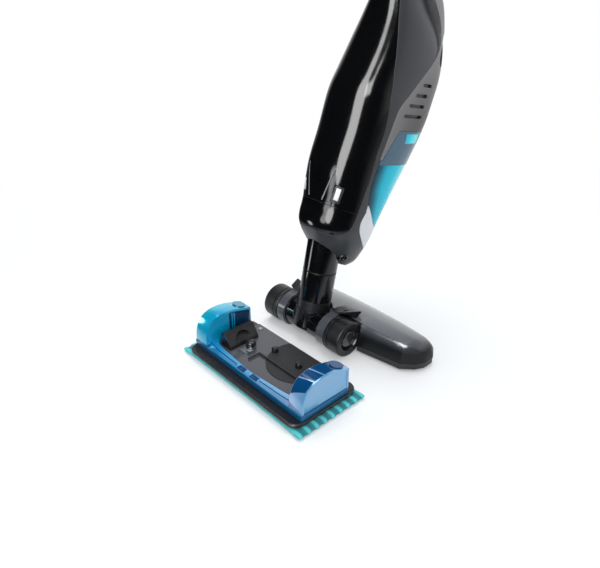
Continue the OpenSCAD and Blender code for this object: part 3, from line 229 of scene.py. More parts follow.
set_up_camera()
set_up_world()
set_up_floor()
softbox("overhead_box", (-0.5, 0.4, 2.4), (0.0, 0.0, 0.2), 1.8, 1.4, 34.0)
softbox("key_box", (1.5, -1.3, 1.7), (0.0, 0.0, 0.2), 0.7, 0.7, 16.0)
softbox("streak_card", (0.64, -1.38, 1.02), (0.0, -0.03, 0.28), 0.95, 1.9, 46.0, sheen_only=True)
softbox("boot_card", (0.10, -1.45, 0.36), (0.0, -0.05, 0.2), 0.6, 0.5, 4.0, sheen_only=True)
softbox("tube_card", (-0.21, -0.27, 0.075), (-0.035, -0.07, 0.12), 0.05, 0.07, 0.06, sheen_only=True)

bpy.context.scene.view_settings.view_transform = "Standard"

# ---------- finishes ----------

# Holds how far each point of the hand unit and the bin lies from the seam, which their painted light and shade
# follow
SEAM_MARK = "from_seam"
# Radius that moulded edges are shaded with
EDGE_ROUND = 0.0005
STRIPES = 9
TANK_TINTS = [(0.0, "#00b8d2"), (0.1, "#00a8d4"), (0.17, "#2190c8"), (0.30, "#4fa6da"), (0.75, "#7cb4e0"),
              (0.9, "#97b8e4"), (1.0, "#63a2cc")]


def hexa(code):
    """Linear colour from a swatch code."""
    parts = [int(code[i:i + 2], 16) / 255 for i in (1, 3, 5)]
    return tuple(p / 12.92 if p <= 0.04045 else ((p + 0.055) / 1.055) ** 2.4 for p in parts)


def shade(code, factor):
    """A swatch's colour, darker or lighter."""
    return tuple(min(1.0, c * factor) for c in hexa(code))


def speckle(tree, where, size, detail=2.0, stretch=None):
    """Noise with spots about size metres across, drawn out along an axis by stretch."""
    if stretch:
        draw = add_node(tree, "Mapping", where)
        draw.inputs["Scale"].default_value = stretch
        where = draw.outputs["Vector"]
    spots = add_node(tree, "TexNoise", where)
    set_sockets(spots, {"Scale": 1.0 / size, "Detail": detail})
    return spots.outputs["Fac"]


def emboss(tree, skin, height, depth, under=None):
    """Bump of the given depth in metres, laid over another bump."""
    bump = add_node(tree, "Bump")
    set_sockets(bump, {"Strength": 1.0, "Distance": depth})
    feed(tree, height, bump.inputs["Height"])
    if under:
        feed(tree, under, bump.inputs["Normal"])
    feed(tree, bump.outputs["Normal"], skin.inputs["Normal"])
    return bump.outputs["Normal"]


def colour_skin(tree, skin, colour, rough):
    feed(tree, colour, skin.inputs["Base Color"])
    feed(tree, rough, skin.inputs["Roughness"])


def moulded(name, code, rough, grain=0.0006, depth=0.00002, coat=0.0, metallic=0.0, drift=0.06, scuff=0.06,
            shine=0.5, coat_rough=0.04):
    """Moulded plastic: a drifting tone, uneven sheen and the mould's own grain."""
    finish, tree, skin, where = start_finish(name)
    tone = speckle(tree, where, 0.045, 3.0)
    wear = speckle(tree, where, 0.012, 5.0)
    colour_skin(tree, skin, mix_colours(tree, tone, shade(code, 1 - drift), shade(code, 1 + drift)),
                spread(tree, wear, max(rough - scuff / 2, 0.02), rough + scuff / 2))
    eased = add_node(tree, "Bevel", EDGE_ROUND, samples=4)
    under = emboss(tree, skin, speckle(tree, where, 0.03, 1.0), depth, eased.outputs["Normal"])
    emboss(tree, skin, speckle(tree, where, grain, 2.0), depth, under)
    set_sockets(skin, {"Metallic": metallic, "Specular IOR Level": shine, "Coat Weight": coat,
                       "Coat Roughness": coat_rough})
    return finish


def patterned(name, marks, dark, light, smooth, rough, depth):
    """Starts a finish whose tone, sheen and relief follow one row of marks: spot size, detail and stretch."""
    finish, tree, skin, where = start_finish(name)
    pattern = speckle(tree, where, *marks)
    colour_skin(tree, skin, mix_colours(tree, pattern, dark, light), spread(tree, pattern, smooth, rough))
    emboss(tree, skin, pattern, depth)
    return finish, skin


def metal(name, code, rough, brushed=(1.0, 1.0, 1.0)):
    """Bare or plated metal with brush marks along the unstretched axis."""
    finish, skin = patterned(name, (0.0012, 4.0, brushed), shade(code, 0.8), hexa(code),
                             rough - 0.06, rough + 0.1, 0.000004)
    skin.inputs["Metallic"].default_value = 1.0
    return finish


def clear_plastic(name, code, rough=0.04, through=0.9, shine=0.5):
    """Tinted clear moulding with faint flow marks."""
    finish, skin = patterned(name, (0.03, 2.0), shade(code, 0.93), hexa(code), rough, rough + 0.05, 0.00004)
    set_sockets(skin, {"Transmission Weight": through, "IOR": 1.46, "Specular IOR Level": shine})
    return finish


def fibres(name, dark, light, sheen=0.4):
    """Fine fibres or folded filter felt."""
    finish, skin = patterned(name, (0.0009, 4.0), hexa(dark), hexa(light), 0.77, 0.93, 0.0002)
    set_sockets(skin, {"Sheen Weight": sheen, "Sheen Roughness": 0.5})
    return finish


def rubber(name, code, rough=0.62):
    """Soft rubber with dust in its grain."""
    finish, tree, skin, where = start_finish(name)
    dust = speckle(tree, where, 0.02, 6.0)
    colour_skin(tree, skin, mix_colours(tree, dust, shade(code, 0.8), shade(code, 1.5)),
                spread(tree, dust, rough - 0.1, rough + 0.1))
    emboss(tree, skin, speckle(tree, where, 0.0005, 2.0), 0.00003)
    skin.inputs["Specular IOR Level"].default_value = 0.4
    return finish


def tone_ramp(tree, share, stops, how="LINEAR"):
    """Runs a share from 0 to 1 through a row of tones."""
    ramp = add_node(tree, "ValToRGB", share)
    row = ramp.color_ramp
    row.interpolation = how
    while len(row.elements) < len(stops):
        row.elements.new(0.5)
    for stop, (at, code) in zip(row.elements, stops):
        stop.position = at
        stop.color = (*hexa(code), 1.0)
    return ramp.outputs["Color"]


def clouded(tree, tone, pattern, thin):
    """Dims a tone unevenly, down to thin where a pattern is low."""
    return mix_colours(tree, 1.0, tone, mix_colours(tree, pattern, thin, WHITE), "MULTIPLY")


def seam_painted_shade(finish, stops):
    """Paints light and shade into a finish's colour: tones that run by how far the surface lies from the cradle's
    seam.
    """
    tree = finish.node_tree
    away = add_node(tree, "Attribute", attribute_name=SEAM_MARK).outputs["Fac"]
    flow = speckle(tree, tree.nodes["Texture Coordinate"].outputs["Object"], 0.03, 2.0)
    feed(tree, clouded(tree, tone_ramp(tree, away, stops), flow, (0.88, 0.88, 0.88)),
         tree.nodes["Principled BSDF"].inputs["Base Color"])
    return finish


def sheen_and_painted_light_graded(finish, axis, start, stop, tones, sheens):
    """Runs a finish's sheen, and its tone as painted light and shade, from one share to another between two planes
    across the object.
    """
    tree = finish.node_tree
    skin = tree.nodes["Principled BSDF"]
    spot = along(tree, tree.nodes["Texture Coordinate"].outputs["Object"], axis)
    plain = skin.inputs["Base Color"].links[0].from_socket
    scaled = add_node(tree, "VectorMath", plain, operation="SCALE")
    feed(tree, spread(tree, spot, *tones, start, stop, soft=True), scaled.inputs["Scale"])
    feed(tree, scaled.outputs["Vector"], skin.inputs["Base Color"])
    share = spread(tree, spot, *sheens, start, stop, soft=True)
    for name in ("Specular IOR Level", "Coat Weight"):
        feed(tree, product(tree, share, skin.inputs[name].default_value), skin.inputs[name])
    return finish


def tank_paint(name):
    """Pearly tank plastic that turns from cyan at the left end to steel blue at the right."""
    finish, tree, skin, where = start_finish(name)
    low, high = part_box("tank_frame")
    across = spread(tree, along(tree, where, "X"), 0.0, 1.0, low[0], high[0])
    cloud = speckle(tree, where, 0.03, 3.0)
    wear = speckle(tree, where, 0.01, 4.0)
    tone = tone_ramp(tree, across, TANK_TINTS, "EASE")
    colour_skin(tree, skin, clouded(tree, tone, cloud, (0.82, 0.86, 0.92)), spread(tree, wear, 0.14, 0.26))
    emboss(tree, skin, speckle(tree, where, 0.0012, 2.0), 0.000003)
    set_sockets(skin, {"Metallic": 0.25, "Coat Weight": 1.0, "Coat Roughness": 0.04})
    return finish


def looped_cloth(name, dark, light):
    """Looped microfibre with light and dark channels that run the length of the pad."""
    finish, tree, skin, where = start_finish(name)
    low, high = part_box("mop_cloth")
    turns = spread(tree, along(tree, where, "Y"), 0.0, STRIPES * math.pi, low[1], high[1])
    wave = add_node(tree, "Math", turns, operation="COSINE").outputs[0]
    crest = add_node(tree, "Math", wave, operation="ABSOLUTE").outputs[0]
    band = spread(tree, crest, 1.0, 0.0, 0.35, 0.8)
    strands = speckle(tree, where, 0.0012, 5.0)
    tuft = mix_colours(tree, strands, shade(light, 0.75), hexa(light))
    dip = mix_colours(tree, strands, shade(dark, 0.7), shade(dark, 1.2))
    colour_skin(tree, skin, mix_colours(tree, band, dip, tuft), spread(tree, strands, 0.78, 0.95))
    emboss(tree, skin, strands, 0.0006)
    set_sockets(skin, {"Sheen Weight": 0.12, "Sheen Roughness": 0.5})
    return finish


GLOSS_BLACK = moulded("piano_black", "#08090b", 0.12, grain=0.004, depth=0.000002, drift=0.1, scuff=0.03)
# Painted light and shade: the housing is lighter grey along the seam and darker away from it, where it turns from
# the light
HAND_GREY = seam_painted_shade(moulded("hand_grey", "#545254", 0.36, grain=0.0005, depth=0.000008, shine=0.3),
                        ((0.0, "#777677"), (0.45, "#5e5d5e"), (1.0, "#333234")))
CRADLE_GREY = moulded("cradle_grey", "#34363a", 0.34, grain=0.0005, depth=0.000005, shine=0.4, drift=0.04)
NECK_GREY = moulded("neck_grey", "#191a1c", 0.34, grain=0.0005, depth=0.000004, shine=0.4)
# Heights between which the nozzle turns from dark and dull to pale and glossy: the dark is painted shade, the pale
# a painted highlight
NOZZLE_SLOPE = (0.024, 0.045)
NOZZLE_GREY = sheen_and_painted_light_graded(moulded("nozzle_grey", "#34363a", 0.22, grain=0.0005, depth=0.000002, coat=1.0,
                             drift=0.04, coat_rough=0.16), "Z", *NOZZLE_SLOPE, (0.3, 3.3), (0.12, 1.0))
NOZZLE_GREY.node_tree.nodes["Principled BSDF"].inputs["Coat IOR"].default_value = 1.9
FENDER_START = JOINTS["neck_tilt"]["pos_m"][1] + 0.002
# Painted highlight: the hinge rings keep a light grey for a highlight, and the fender leaf is darkened
HINGE_GREY = sheen_and_painted_light_graded(moulded("hinge_grey", "#4e5056", 0.24, grain=0.0005, depth=0.000003, coat=0.3,
                            drift=0.04), "Y", FENDER_START, FENDER_START + 0.008, (1.0, 0.13), (1.0, 0.15))
MOULD_BLACK = moulded("mould_black", "#131416", 0.38)
STUD_BLACK = moulded("stud_black", "#17181b", 0.25, coat=0.2)
DECK_GREY = moulded("deck_grey", "#4a4c51", 0.16, grain=0.002, depth=0.000002, coat=0.3)
DISC_BLACK = moulded("disc_black", "#232527", 0.5, shine=0.3)
PLATE_BLACK = moulded("plate_black", "#242325", 0.26)
LIGHT_PLASTIC = moulded("light_plastic", "#d2d3d0", 0.4)
WRAP_DARK = moulded("battery_wrap", "#17181b", 0.3, grain=0.003, depth=0.00001)
RUBBER = rubber("soft_rubber", "#2a2b2e")
TYRE = rubber("tyre_rubber", "#141518", 0.42)
STEEL = metal("turned_steel", "#b4b8bc", 0.28, (1.0, 12.0, 12.0))
SILVER = moulded("silver_paint", "#cfd2d5", 0.3, depth=0.000003, coat=0.3, metallic=0.1)
# Painted highlight: light grey for the bead along each sunk panel's edge
BEAD_HIGHLIGHT_GREY = moulded("bead_highlight_grey", "#8f9296", 0.25, depth=0.000003)
SCREW_DARK = metal("screw_dark", "#3a3c3f", 0.35)
# Painted reflection: the release buttons' white stands for a softbox seen in their gloss
BUTTON_REFLECTION_WHITE = moulded("button_painted_reflection", "#eef0f0", 0.3, coat=0.3)
# Painted shadow: the bin is dark teal along the seam, as shade from the cradle's recess, and runs to pale cyan
# away from it
BIN_CYAN = seam_painted_shade(clear_plastic("bin_cyan", "#12c4e6", 0.1, through=0.15, shine=0.2),
                       ((0.0, "#04222e"), (0.14, "#06657a"), (0.36, "#00c0dc"), (0.7, "#12d2ec"),
                        (1.0, "#6cf0fc")))
COLLAR_SMOKE = clear_plastic("collar_smoke", "#45677c", 0.16, through=0.25)
BRISTLE = fibres("bristle_blue", "#123f73", "#2d7cc4")
PLEATS = fibres("pleated_paper", "#c9c9c2", "#efefea", sheen=0.0)
CAP_TEAL = moulded("cap_teal", "#0b7d96", 0.12, grain=0.002, depth=0.000002, coat=0.5)
TANK_DEEP_BLUE = moulded("tank_deep_blue", "#033f6c", 0.12, grain=0.002, depth=0.000002, shine=0.4)
FOOT_BLUE = moulded("foot_blue", "#06527e", 0.16, grain=0.002, depth=0.000002, shine=0.4)
PANEL_TEAL = moulded("panel_teal", "#033352", 0.12, grain=0.002, depth=0.000002, shine=0.3)
HUB_GREY = moulded("hub_grey", "#2c2d31", 0.16, grain=0.002, depth=0.000002, coat=0.5)
TANK_PAINT = tank_paint("tank_paint")
CLOTH = looped_cloth("looped_cloth", "#00747d", "#4accd0")

SLOT_FINISH = {
    "gloss_black": GLOSS_BLACK, "satin_black": MOULD_BLACK, "satin_grey": CRADLE_GREY,
    "gloss_grey": DECK_GREY, "rubber": RUBBER, "tyre": TYRE, "steel": STEEL, "silver": SILVER,
    "bin_cyan": BIN_CYAN, "tank_blue": TANK_DEEP_BLUE, "tank_cyan": CAP_TEAL, "bristle": BRISTLE,
    "cloth": CLOTH, "pleats": PLEATS, "battery_wrap": WRAP_DARK, "light_plastic": LIGHT_PLASTIC,
}
NODE_FINISH = {
    "hand_shell_left": HAND_GREY, "hand_shell_right": HAND_GREY, "neck_tongue": NECK_GREY,
    "nozzle_cover": NOZZLE_GREY, "hinge_arm_left": HINGE_GREY, "hinge_arm_right": HINGE_GREY,
    "rest_disc": DISC_BLACK, "mop_plate": PLATE_BLACK, "locating_studs": STUD_BLACK,
    "valve_knob": STUD_BLACK, "wheel_hub_left": STUD_BLACK, "wheel_hub_right": STUD_BLACK,
}


def finish_nodes():
    slot_of = {part["node"]: part["material_slot"] for part in frame["record"]["subparts"]}
    for name, node in frame["nodes"].items():
        finish = NODE_FINISH.get(name, SLOT_FINISH[slot_of[name]])
        node.data.materials.clear()
        node.data.materials.append(finish)


finish_nodes()

SMOOTH_BELOW = math.radians(33)


def smooth_group():
    """Joins a node's loose triangles for shading and rounds it off below an angle."""
    group = bpy.data.node_groups.new("smooth_below_angle", "GeometryNodeTree")
    group.interface.new_socket("Geometry", in_out="INPUT", socket_type="NodeSocketGeometry")
    group.interface.new_socket("Geometry", in_out="OUTPUT", socket_type="NodeSocketGeometry")
    start = group.nodes.new("NodeGroupInput")
    end = group.nodes.new("NodeGroupOutput")
    weld = group.nodes.new("GeometryNodeMergeByDistance")
    weld.inputs["Distance"].default_value = 0.00001
    plain = group.nodes.new("GeometryNodeRemoveAttribute")
    plain.inputs["Name"].default_value = "custom_normal"
    angle = group.nodes.new("GeometryNodeInputMeshEdgeAngle")
    below = group.nodes.new("FunctionNodeCompare")
    below.data_type = "FLOAT"
    below.operation = "LESS_THAN"
    below.inputs[1].default_value = SMOOTH_BELOW
    faces = group.nodes.new("GeometryNodeSetShadeSmooth")
    edges = group.nodes.new("GeometryNodeSetShadeSmooth")
    edges.domain = "EDGE"
    join = group.links.new
    join(start.outputs[0], weld.inputs[0])
    join(weld.outputs[0], plain.inputs[0])
    join(plain.outputs[0], faces.inputs[0])
    join(faces.outputs[0], edges.inputs[0])
    join(angle.outputs["Unsigned Angle"], below.inputs[0])
    join(below.outputs[0], edges.inputs["Shade Smooth"])
    join(edges.outputs[0], end.inputs[0])
    return group


def smooth_nodes():
    group = smooth_group()
    for node in frame["nodes"].values():
        node.modifiers.new("smooth", "NODES").node_group = group


smooth_nodes()

# ---------- building shapes ----------

SHARP = math.radians(32)


def new_piece(name, shape):
    """Turns a finished bmesh into a piece at the origin, smooth but for its sharp edges."""
    mesh = bpy.data.meshes.new(name)
    shape.to_mesh(mesh)
    shape.free()
    piece = bpy.data.objects.new(name, mesh)
    bpy.context.scene.collection.objects.link(piece)
    round_off(piece)
    return piece


def stood(name, shape, place):
    """Makes a shape a piece in its place."""
    bmesh.ops.transform(shape, matrix=place, verts=shape.verts)
    return new_piece(name, shape)


def closed(name, shape, place):
    """Makes a closed shape a piece in its place, with its faces turned outwards."""
    bmesh.ops.recalc_face_normals(shape, faces=shape.faces)
    return stood(name, shape, place)


def face_outwards(piece):
    """Turns a mirrored piece's faces outwards again."""
    shape = bmesh.new()
    shape.from_mesh(piece.data)
    bmesh.ops.recalc_face_normals(shape, faces=shape.faces)
    shape.to_mesh(piece.data)
    shape.free()
    return piece


def round_off(piece, sharp=SHARP):
    piece.data.shade_smooth()
    piece.data.set_sharp_from_angle(angle=sharp)


def settle(piece):
    """Applies a piece's modifiers to its mesh."""
    sight = bpy.context.evaluated_depsgraph_get()
    finished = bpy.data.meshes.new_from_object(piece.evaluated_get(sight))
    piece.modifiers.clear()
    old, piece.data = piece.data, finished
    finished.name = piece.name
    bpy.data.meshes.remove(old)


def carve(piece, tool, how="DIFFERENCE", keep_tool=False):
    """Cuts a piece with a tool, joins the tool on or keeps only what lies within it."""
    cut = piece.modifiers.new("carve", "BOOLEAN")
    cut.operation = how
    cut.solver = "MANIFOLD"
    cut.object = tool
    settle(piece)
    if not keep_tool:
        drop(tool)
    return piece


def drop(tool):
    mesh = tool.data
    bpy.data.objects.remove(tool)
    bpy.data.meshes.remove(mesh)


def twin(piece, name):
    """A separate copy of a piece to carve further."""
    copy = bpy.data.objects.new(name, piece.data.copy())
    bpy.context.scene.collection.objects.link(copy)
    return copy


def dress(piece, body, slot, finish, *nodes):
    """Gives a piece its finish and its body, and hides the nodes that it stands for. The slot argument is not
    used.
    """
    piece.data.materials.clear()
    piece.data.materials.append(finish)
    round_off(piece)
    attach(piece, body)
    if nodes:
        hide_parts(*nodes)
    return piece


def bevelled(piece, width, segments=3, angle=34):
    """Rounds off a piece's edges."""
    easing = piece.modifiers.new("easing", "BEVEL")
    easing.width = width * MM
    easing.segments = segments
    easing.limit_method = "ANGLE"
    easing.angle_limit = math.radians(angle)
    settle(piece)
    return piece


def block(name, low, high, place):
    """Box between two corners, in a place's own millimetres."""
    shape = bmesh.new()
    bmesh.ops.create_cube(shape, size=1.0)
    low, high = Vector(low), Vector(high)
    return stood(name, shape,
                 place @ Matrix.Translation((low + high) / 2) @ Matrix.Diagonal((*(high - low), 1.0)))


def side_block(name, side, across, ahead, up, place):
    """Box by its spans across, ahead and up; side is 1 on the right and -1 on the left."""
    near, far = sorted(side * x for x in across)
    return block(name, (near, ahead[0], up[0]), (far, ahead[1], up[1]), place)


def turned_to(way):
    """Turns the Z axis to a direction."""
    return way.to_track_quat("Z", "Y").to_matrix().to_4x4()


def rod(name, radius, start, end, place, sides=64):
    """Round bar from start to end, in a place's own millimetres."""
    shape = bmesh.new()
    start, end = Vector(start), Vector(end)
    bmesh.ops.create_cone(
        shape, cap_ends=True, segments=sides, radius1=radius, radius2=radius, depth=(end - start).length)
    return stood(name, shape, place @ Matrix.Translation((start + end) / 2) @ turned_to(end - start))


def rounded_slab(name, wide, deep, corner, low, high, place, steps=10):
    """Plate with round corners between two heights."""
    shape = bmesh.new()
    bmesh.ops.create_cube(shape, size=1.0)
    bmesh.ops.transform(shape, matrix=Matrix.Translation((0, 0, (low + high) / 2))
                        @ Matrix.Diagonal((wide, deep, high - low, 1)), verts=shape.verts)
    upright = [e for e in shape.edges if abs(e.verts[0].co.z - e.verts[1].co.z) > 0.5 * (high - low)]
    bmesh.ops.bevel(shape, geom=upright, offset=corner, segments=steps, profile=0.5, affect="EDGES",
                    material=-1)
    return stood(name, shape, place)


def fair(points, steps=6):
    """Smooth run of points through the corners of an outline."""
    run = []
    last = len(points) - 1
    for i in range(last):
        p0, p1, p2, p3 = (Vector(points[min(max(k, 0), last)]) for k in (i - 1, i, i + 1, i + 2))
        for step in range(steps):
            q = step / steps
            run.append(0.5 * (2 * p1 + (p2 - p0) * q + (2 * p0 - 5 * p1 + 4 * p2 - p3) * q * q
                              + (3 * p1 - p0 - 3 * p2 + p3) * q ** 3))
    run.append(Vector(points[last]))
    return run


def pull_out(shape, way):
    """Pulls a shape's flat faces out into a solid."""
    pulled = bmesh.ops.extrude_face_region(shape, geom=shape.faces[:])["geom"]
    bmesh.ops.translate(shape, verts=[v for v in pulled if isinstance(v, bmesh.types.BMVert)], vec=way)


def prism(name, rim, way, place):
    """Solid from a flat rim of points, pulled out along a direction."""
    shape = bmesh.new()
    shape.faces.new([shape.verts.new(point) for point in rim])
    pull_out(shape, way)
    return closed(name, shape, place)


def side_cut(name, outline, place, half=200.0):
    """Prism across a place from a side view outline of [ahead, up] points."""
    return prism(name, [(-half, *point) for point in outline], (2 * half, 0, 0), place)


def spun(name, shape, steps, place):
    """Turns a profile once round the upright axis and closes what stays open."""
    bmesh.ops.spin(shape, geom=shape.verts[:] + shape.edges[:], cent=(0, 0, 0), axis=(0, 0, 1),
                   angle=2 * math.pi, steps=steps, use_merge=True)
    bmesh.ops.remove_doubles(shape, verts=shape.verts, dist=0.001)
    bmesh.ops.holes_fill(shape, edges=[e for e in shape.edges if e.is_boundary], sides=0)
    return closed(name, shape, place)


def ring_edges(ring):
    inside = set(ring)
    return [edge for edge in {e for v in ring for e in v.link_edges}
            if edge.verts[0] in inside and edge.verts[1] in inside]


def loft(name, sides, sections, place):
    """Closed form through rings: each section moves a unit circle's points to where they lie."""
    shape = bmesh.new()
    loops = []
    for section in sections:
        ring = bmesh.ops.create_circle(shape, segments=sides, radius=1.0)["verts"]
        loops.append(ring_edges(ring))
        for index, point in enumerate(ring):
            point.co = section(index, point.co.copy())
    for low, high in zip(loops, loops[1:]):
        bmesh.ops.bridge_loops(shape, edges=low + high)
    for end in (loops[0], loops[-1]):
        bmesh.ops.holes_fill(shape, edges=end, sides=0)
    return closed(name, shape, place)


def row_value(rows, at, column):
    """Smooth curve through one column of a table whose first column climbs."""
    spot = max(i for i in range(len(rows) - 1) if i == 0 or rows[i][0] <= at)

    def slope(i):
        low, high = rows[max(i - 1, 0)], rows[min(i + 1, len(rows) - 1)]
        return (high[column] - low[column]) / (high[0] - low[0])

    width = rows[spot + 1][0] - rows[spot][0]
    q = min(max((at - rows[spot][0]) / width, 0.0), 1.0)
    return (rows[spot][column] * (1 + 2 * q) * (1 - q) ** 2 + slope(spot) * width * q * (1 - q) ** 2
            + rows[spot + 1][column] * q * q * (3 - 2 * q) + slope(spot + 1) * width * q * q * (q - 1))


# ---------- places, in millimetres ----------

AXLE = Vector(JOINTS["neck_tilt"]["pos_m"])
TUBE_AXIS = Vector(JOINTS["neck_swivel"]["axis"])
LEAN = math.atan2(TUBE_AXIS.y, TUBE_AXIS.z)
BODY_TILT = math.radians(14)
BODY_RISE = 43.0
SCALE = Matrix.Scale(MM, 4)
TUBE = Matrix.Translation(AXLE) @ Matrix.Rotation(-LEAN, 4, "X") @ SCALE
BODY = TUBE @ Matrix.Translation((0, 0, BODY_RISE)) @ Matrix.Rotation(-BODY_TILT, 4, "X")

# ---------- the stick's body ----------

BODY_HALF = 51.0
BODY_DEEP = 81.5
BODY_FOOT = 43.0
BODY_LONG = 362.0
GAP = 0.3
# Reach of a cutting tool past all that it cuts
FAR = 400.0
# Share of the length, half width, back and front
BODY_ROWS = [
    (0.000, 0.30, 0.10, 0.38), (0.022, 0.47, -0.20, 0.49), (0.060, 0.65, -0.48, 0.51),
    (0.113, 0.82, -0.70, 0.52), (0.191, 0.87, -0.76, 0.55), (0.315, 0.94, -0.89, 0.63),
    (0.434, 0.98, -0.92, 0.73), (0.566, 1.00, -0.98, 0.83), (0.652, 0.98, -0.93, 0.82),
    (0.735, 0.94, -0.88, 0.79), (0.834, 0.82, -0.84, 0.67), (0.930, 0.63, -0.80, 0.50),
    (0.980, 0.44, -0.70, 0.38), (1.000, 0.26, -0.60, 0.30)]
CRADLE_ROWS = BODY_ROWS[:10] + [
    (0.834, 0.78, -0.85, 0.55), (0.915, 0.52, -0.88, 0.05),
    (0.985, 0.36, -0.94, -0.47), (1.040, 0.33, -0.99, -0.56)]
CRADLE_END = 1.04
SOFT_CORNER = 1 / 1.2
BODY_SIDES = 96
BODY_RINGS = 54
# How evenly the rings are spaced, and how far they crowd towards the ends
RING_EVEN, RING_EASE = 0.45, 0.55


def softened(part):
    return math.copysign(abs(part) ** SOFT_CORNER, part)


def body_section(rows, share, inset):
    """Ring of the body at a share of its length, drawn in by inset."""
    level = BODY_FOOT + share * BODY_LONG
    level = min(max(level, BODY_FOOT + inset), BODY_FOOT + BODY_LONG * CRADLE_END - inset)
    half = row_value(rows, share, 1) * BODY_HALF - inset
    back = row_value(rows, share, 2) * BODY_DEEP + inset
    front = row_value(rows, share, 3) * BODY_DEEP - inset
    middle, deep = (back + front) / 2, (front - back) / 2
    return lambda index, point: Vector((half * softened(point.x), middle + deep * softened(point.y), level))


def body_form(name, rows, inset=0.0, low=0.0, high=1.0):
    """The stick body's smooth form between two shares of its length."""
    shares = []
    for i in range(BODY_RINGS + 1):
        spot = i / BODY_RINGS
        ease = 0.5 - 0.5 * math.cos(math.pi * spot)
        shares.append(low + (high - low) * (RING_EVEN * spot + RING_EASE * ease))
    return loft(name, BODY_SIDES, [body_section(rows, share, inset) for share in shares], BODY)


SEAM = [(90, 68), (46, 69), (20, 75), (1, 92), (-14, 122), (-16, 130), (-24, 150), (-27, 185),
        (-28, 236), (-27, 247), (-24, 255), (-13, 276), (-1, 298), (14, 323), (19, 340), (10, 362),
        (-14, 384), (-38, 402)]
BEYOND = 150.0
OVER = 440.0


def ahead_of_seam(gap):
    """Tool that covers all that lies ahead of the cradle's open front."""
    edge = [(p.x + gap, p.y + gap * 0.4) for p in fair(SEAM)]
    return side_cut("ahead_tool", edge + [(BEYOND, OVER), (BEYOND, edge[0][1])], BODY)


SEAM_REACH = 55.0


def mark_seam(piece):
    """Stores at each point how far it lies from the seam, as a share of the reach."""
    line = fair(SEAM)
    back = BODY.inverted()
    away = piece.data.attributes.new(SEAM_MARK, "FLOAT", "POINT")
    for vertex in piece.data.vertices:
        spot = (back @ vertex.co).yz
        away.data[vertex.index].value = min(min((spot - knot).length for knot in line) / SEAM_REACH, 1.0)


# Front edge of the glossy back, with a round corner at the boot's foot
COVER_EDGE = [(-90, 79), (-60, 79), (-44, 81), (-34, 86), (-27, 96), (-26, 113), (-28, 135), (-30, 157),
              (-33, 175), (-35, 193), (-35.5, 212), (-39, 231), (-44, 250), (-47.5, 271), (-50, 282),
              (-52, 297), (-56, 325), (-60, 355), (-64, 395), (-66, 430)]


def cover_band(low, high, gap=0.0):
    """Tool that covers the glossy back between two heights, up to its front edge."""
    edge = [(p.x + gap, p.y - gap) for p in fair(COVER_EDGE)]
    foot, top = COVER_EDGE[0][1], COVER_EDGE[-1][1]
    behind = side_cut("behind_tool", edge + [(-BEYOND, top), (-BEYOND, foot)], BODY)
    reach = FAR / 2
    return carve(behind, block("band_tool", (-reach, -reach, low), (reach, reach, high), BODY), "INTERSECT")


BOOT_LOW, BOOT_HIGH, COVER_HIGH = 73.0, 114.0, 392.0
COVER_DEEP = 2.2
CRADLE_WALL = 3.0
# Shares of the body's length between which a cover, or what is fitted into the back, is formed
COVER_SPAN, BOOT_SPAN, BUTTON_SPAN = (0.113, 0.985), (0.06, 0.31), (0.06, 0.5)


def keep_skin(piece, outer, inner, span):
    """Keeps only what lies between two depths under the cradle's surface."""
    carve(piece, body_form("outer_tool", CRADLE_ROWS, outer, *span), "INTERSECT")
    carve(piece, body_form("inner_tool", CRADLE_ROWS, inner, *span))


BUTTON_AT = (27.0, -56.0, 129.0)
BUTTON_TURN = math.radians(38)
BUTTON_SIZE = (11.7, 20.7)
POCKET_BACK, POCKET_FRONT = -20.0, 9.0


def button_place(side):
    """A release button's own millimetres, turned to face out of the back."""
    return (BODY @ Matrix.Diagonal((side, 1, 1, 1)) @ Matrix.Translation(BUTTON_AT)
            @ Matrix.Rotation(BUTTON_TURN, 4, "Z"))


def button_pocket(side):
    half, tall = BUTTON_SIZE[0] / 2, BUTTON_SIZE[1] / 2
    low, high = (-half, POCKET_BACK, -tall), (half, POCKET_FRONT, tall)
    return face_outwards(block("button_tool", low, high, button_place(side)))


# Three corners of the sunk panel beside each release button: across, up
NOTCH = ((22.4, 157.0), (11.2, 117.0), (23.6, 117.0))
NOTCH_DEEP = 0.9
BACK_START, BACK_LONG = -95.0, 60.0


def back_cut(name, side, outline):
    """Prism into the back from an outline of [across, up] points on one side."""
    return prism(name, [(side * x, BACK_START, z) for x, z in outline], (0, BACK_LONG, 0), BODY)


def button_notch(side):
    """Sunk three-cornered panel that leads the thumb to a release button."""
    notch = back_cut("notch_tool", side, NOTCH)
    return carve(notch, body_form("inner_tool", CRADLE_ROWS, NOTCH_DEEP, *BUTTON_SPAN))


BEAD_OUT = 0.8
BEAD_TOP_IN, BEAD_FOOT_IN = -0.2, 0.5
BEAD_PROUD, BEAD_DEEP = 0.3, 0.6


def make_notch_edges():
    """Bright bead down the outer edge of each sunk panel, its light grey a painted highlight of the edge."""
    (top_x, top_z), (foot_x, foot_z) = NOTCH[:2]
    strip = ((top_x + BEAD_TOP_IN, top_z), (foot_x + BEAD_FOOT_IN, foot_z), (foot_x - BEAD_OUT, foot_z),
             (top_x - BEAD_OUT, top_z))
    for side, name in SIDES:
        bead = back_cut("notch_bead_" + name, side, strip)
        keep_skin(bead, -BEAD_PROUD, BEAD_DEEP, BUTTON_SPAN)
        bevelled(bead, 0.25, segments=2, angle=50)
        dress(bead, "stick", "satin_grey", BEAD_HIGHLIGHT_GREY)


LEAF_EDGE = [(-12, 124), (-14, 113), (-14.5, 104), (-11, 95), (-2, 86.5), (10, 79), (24, 73)]
LEAF_SPAN, LEAF_CORE_SPAN = (0.02, 0.4), (0.01, 0.41)
LEAF_PROUD, LEAF_DEEP = 0.25, 0.5
LEAF_START = 24.0


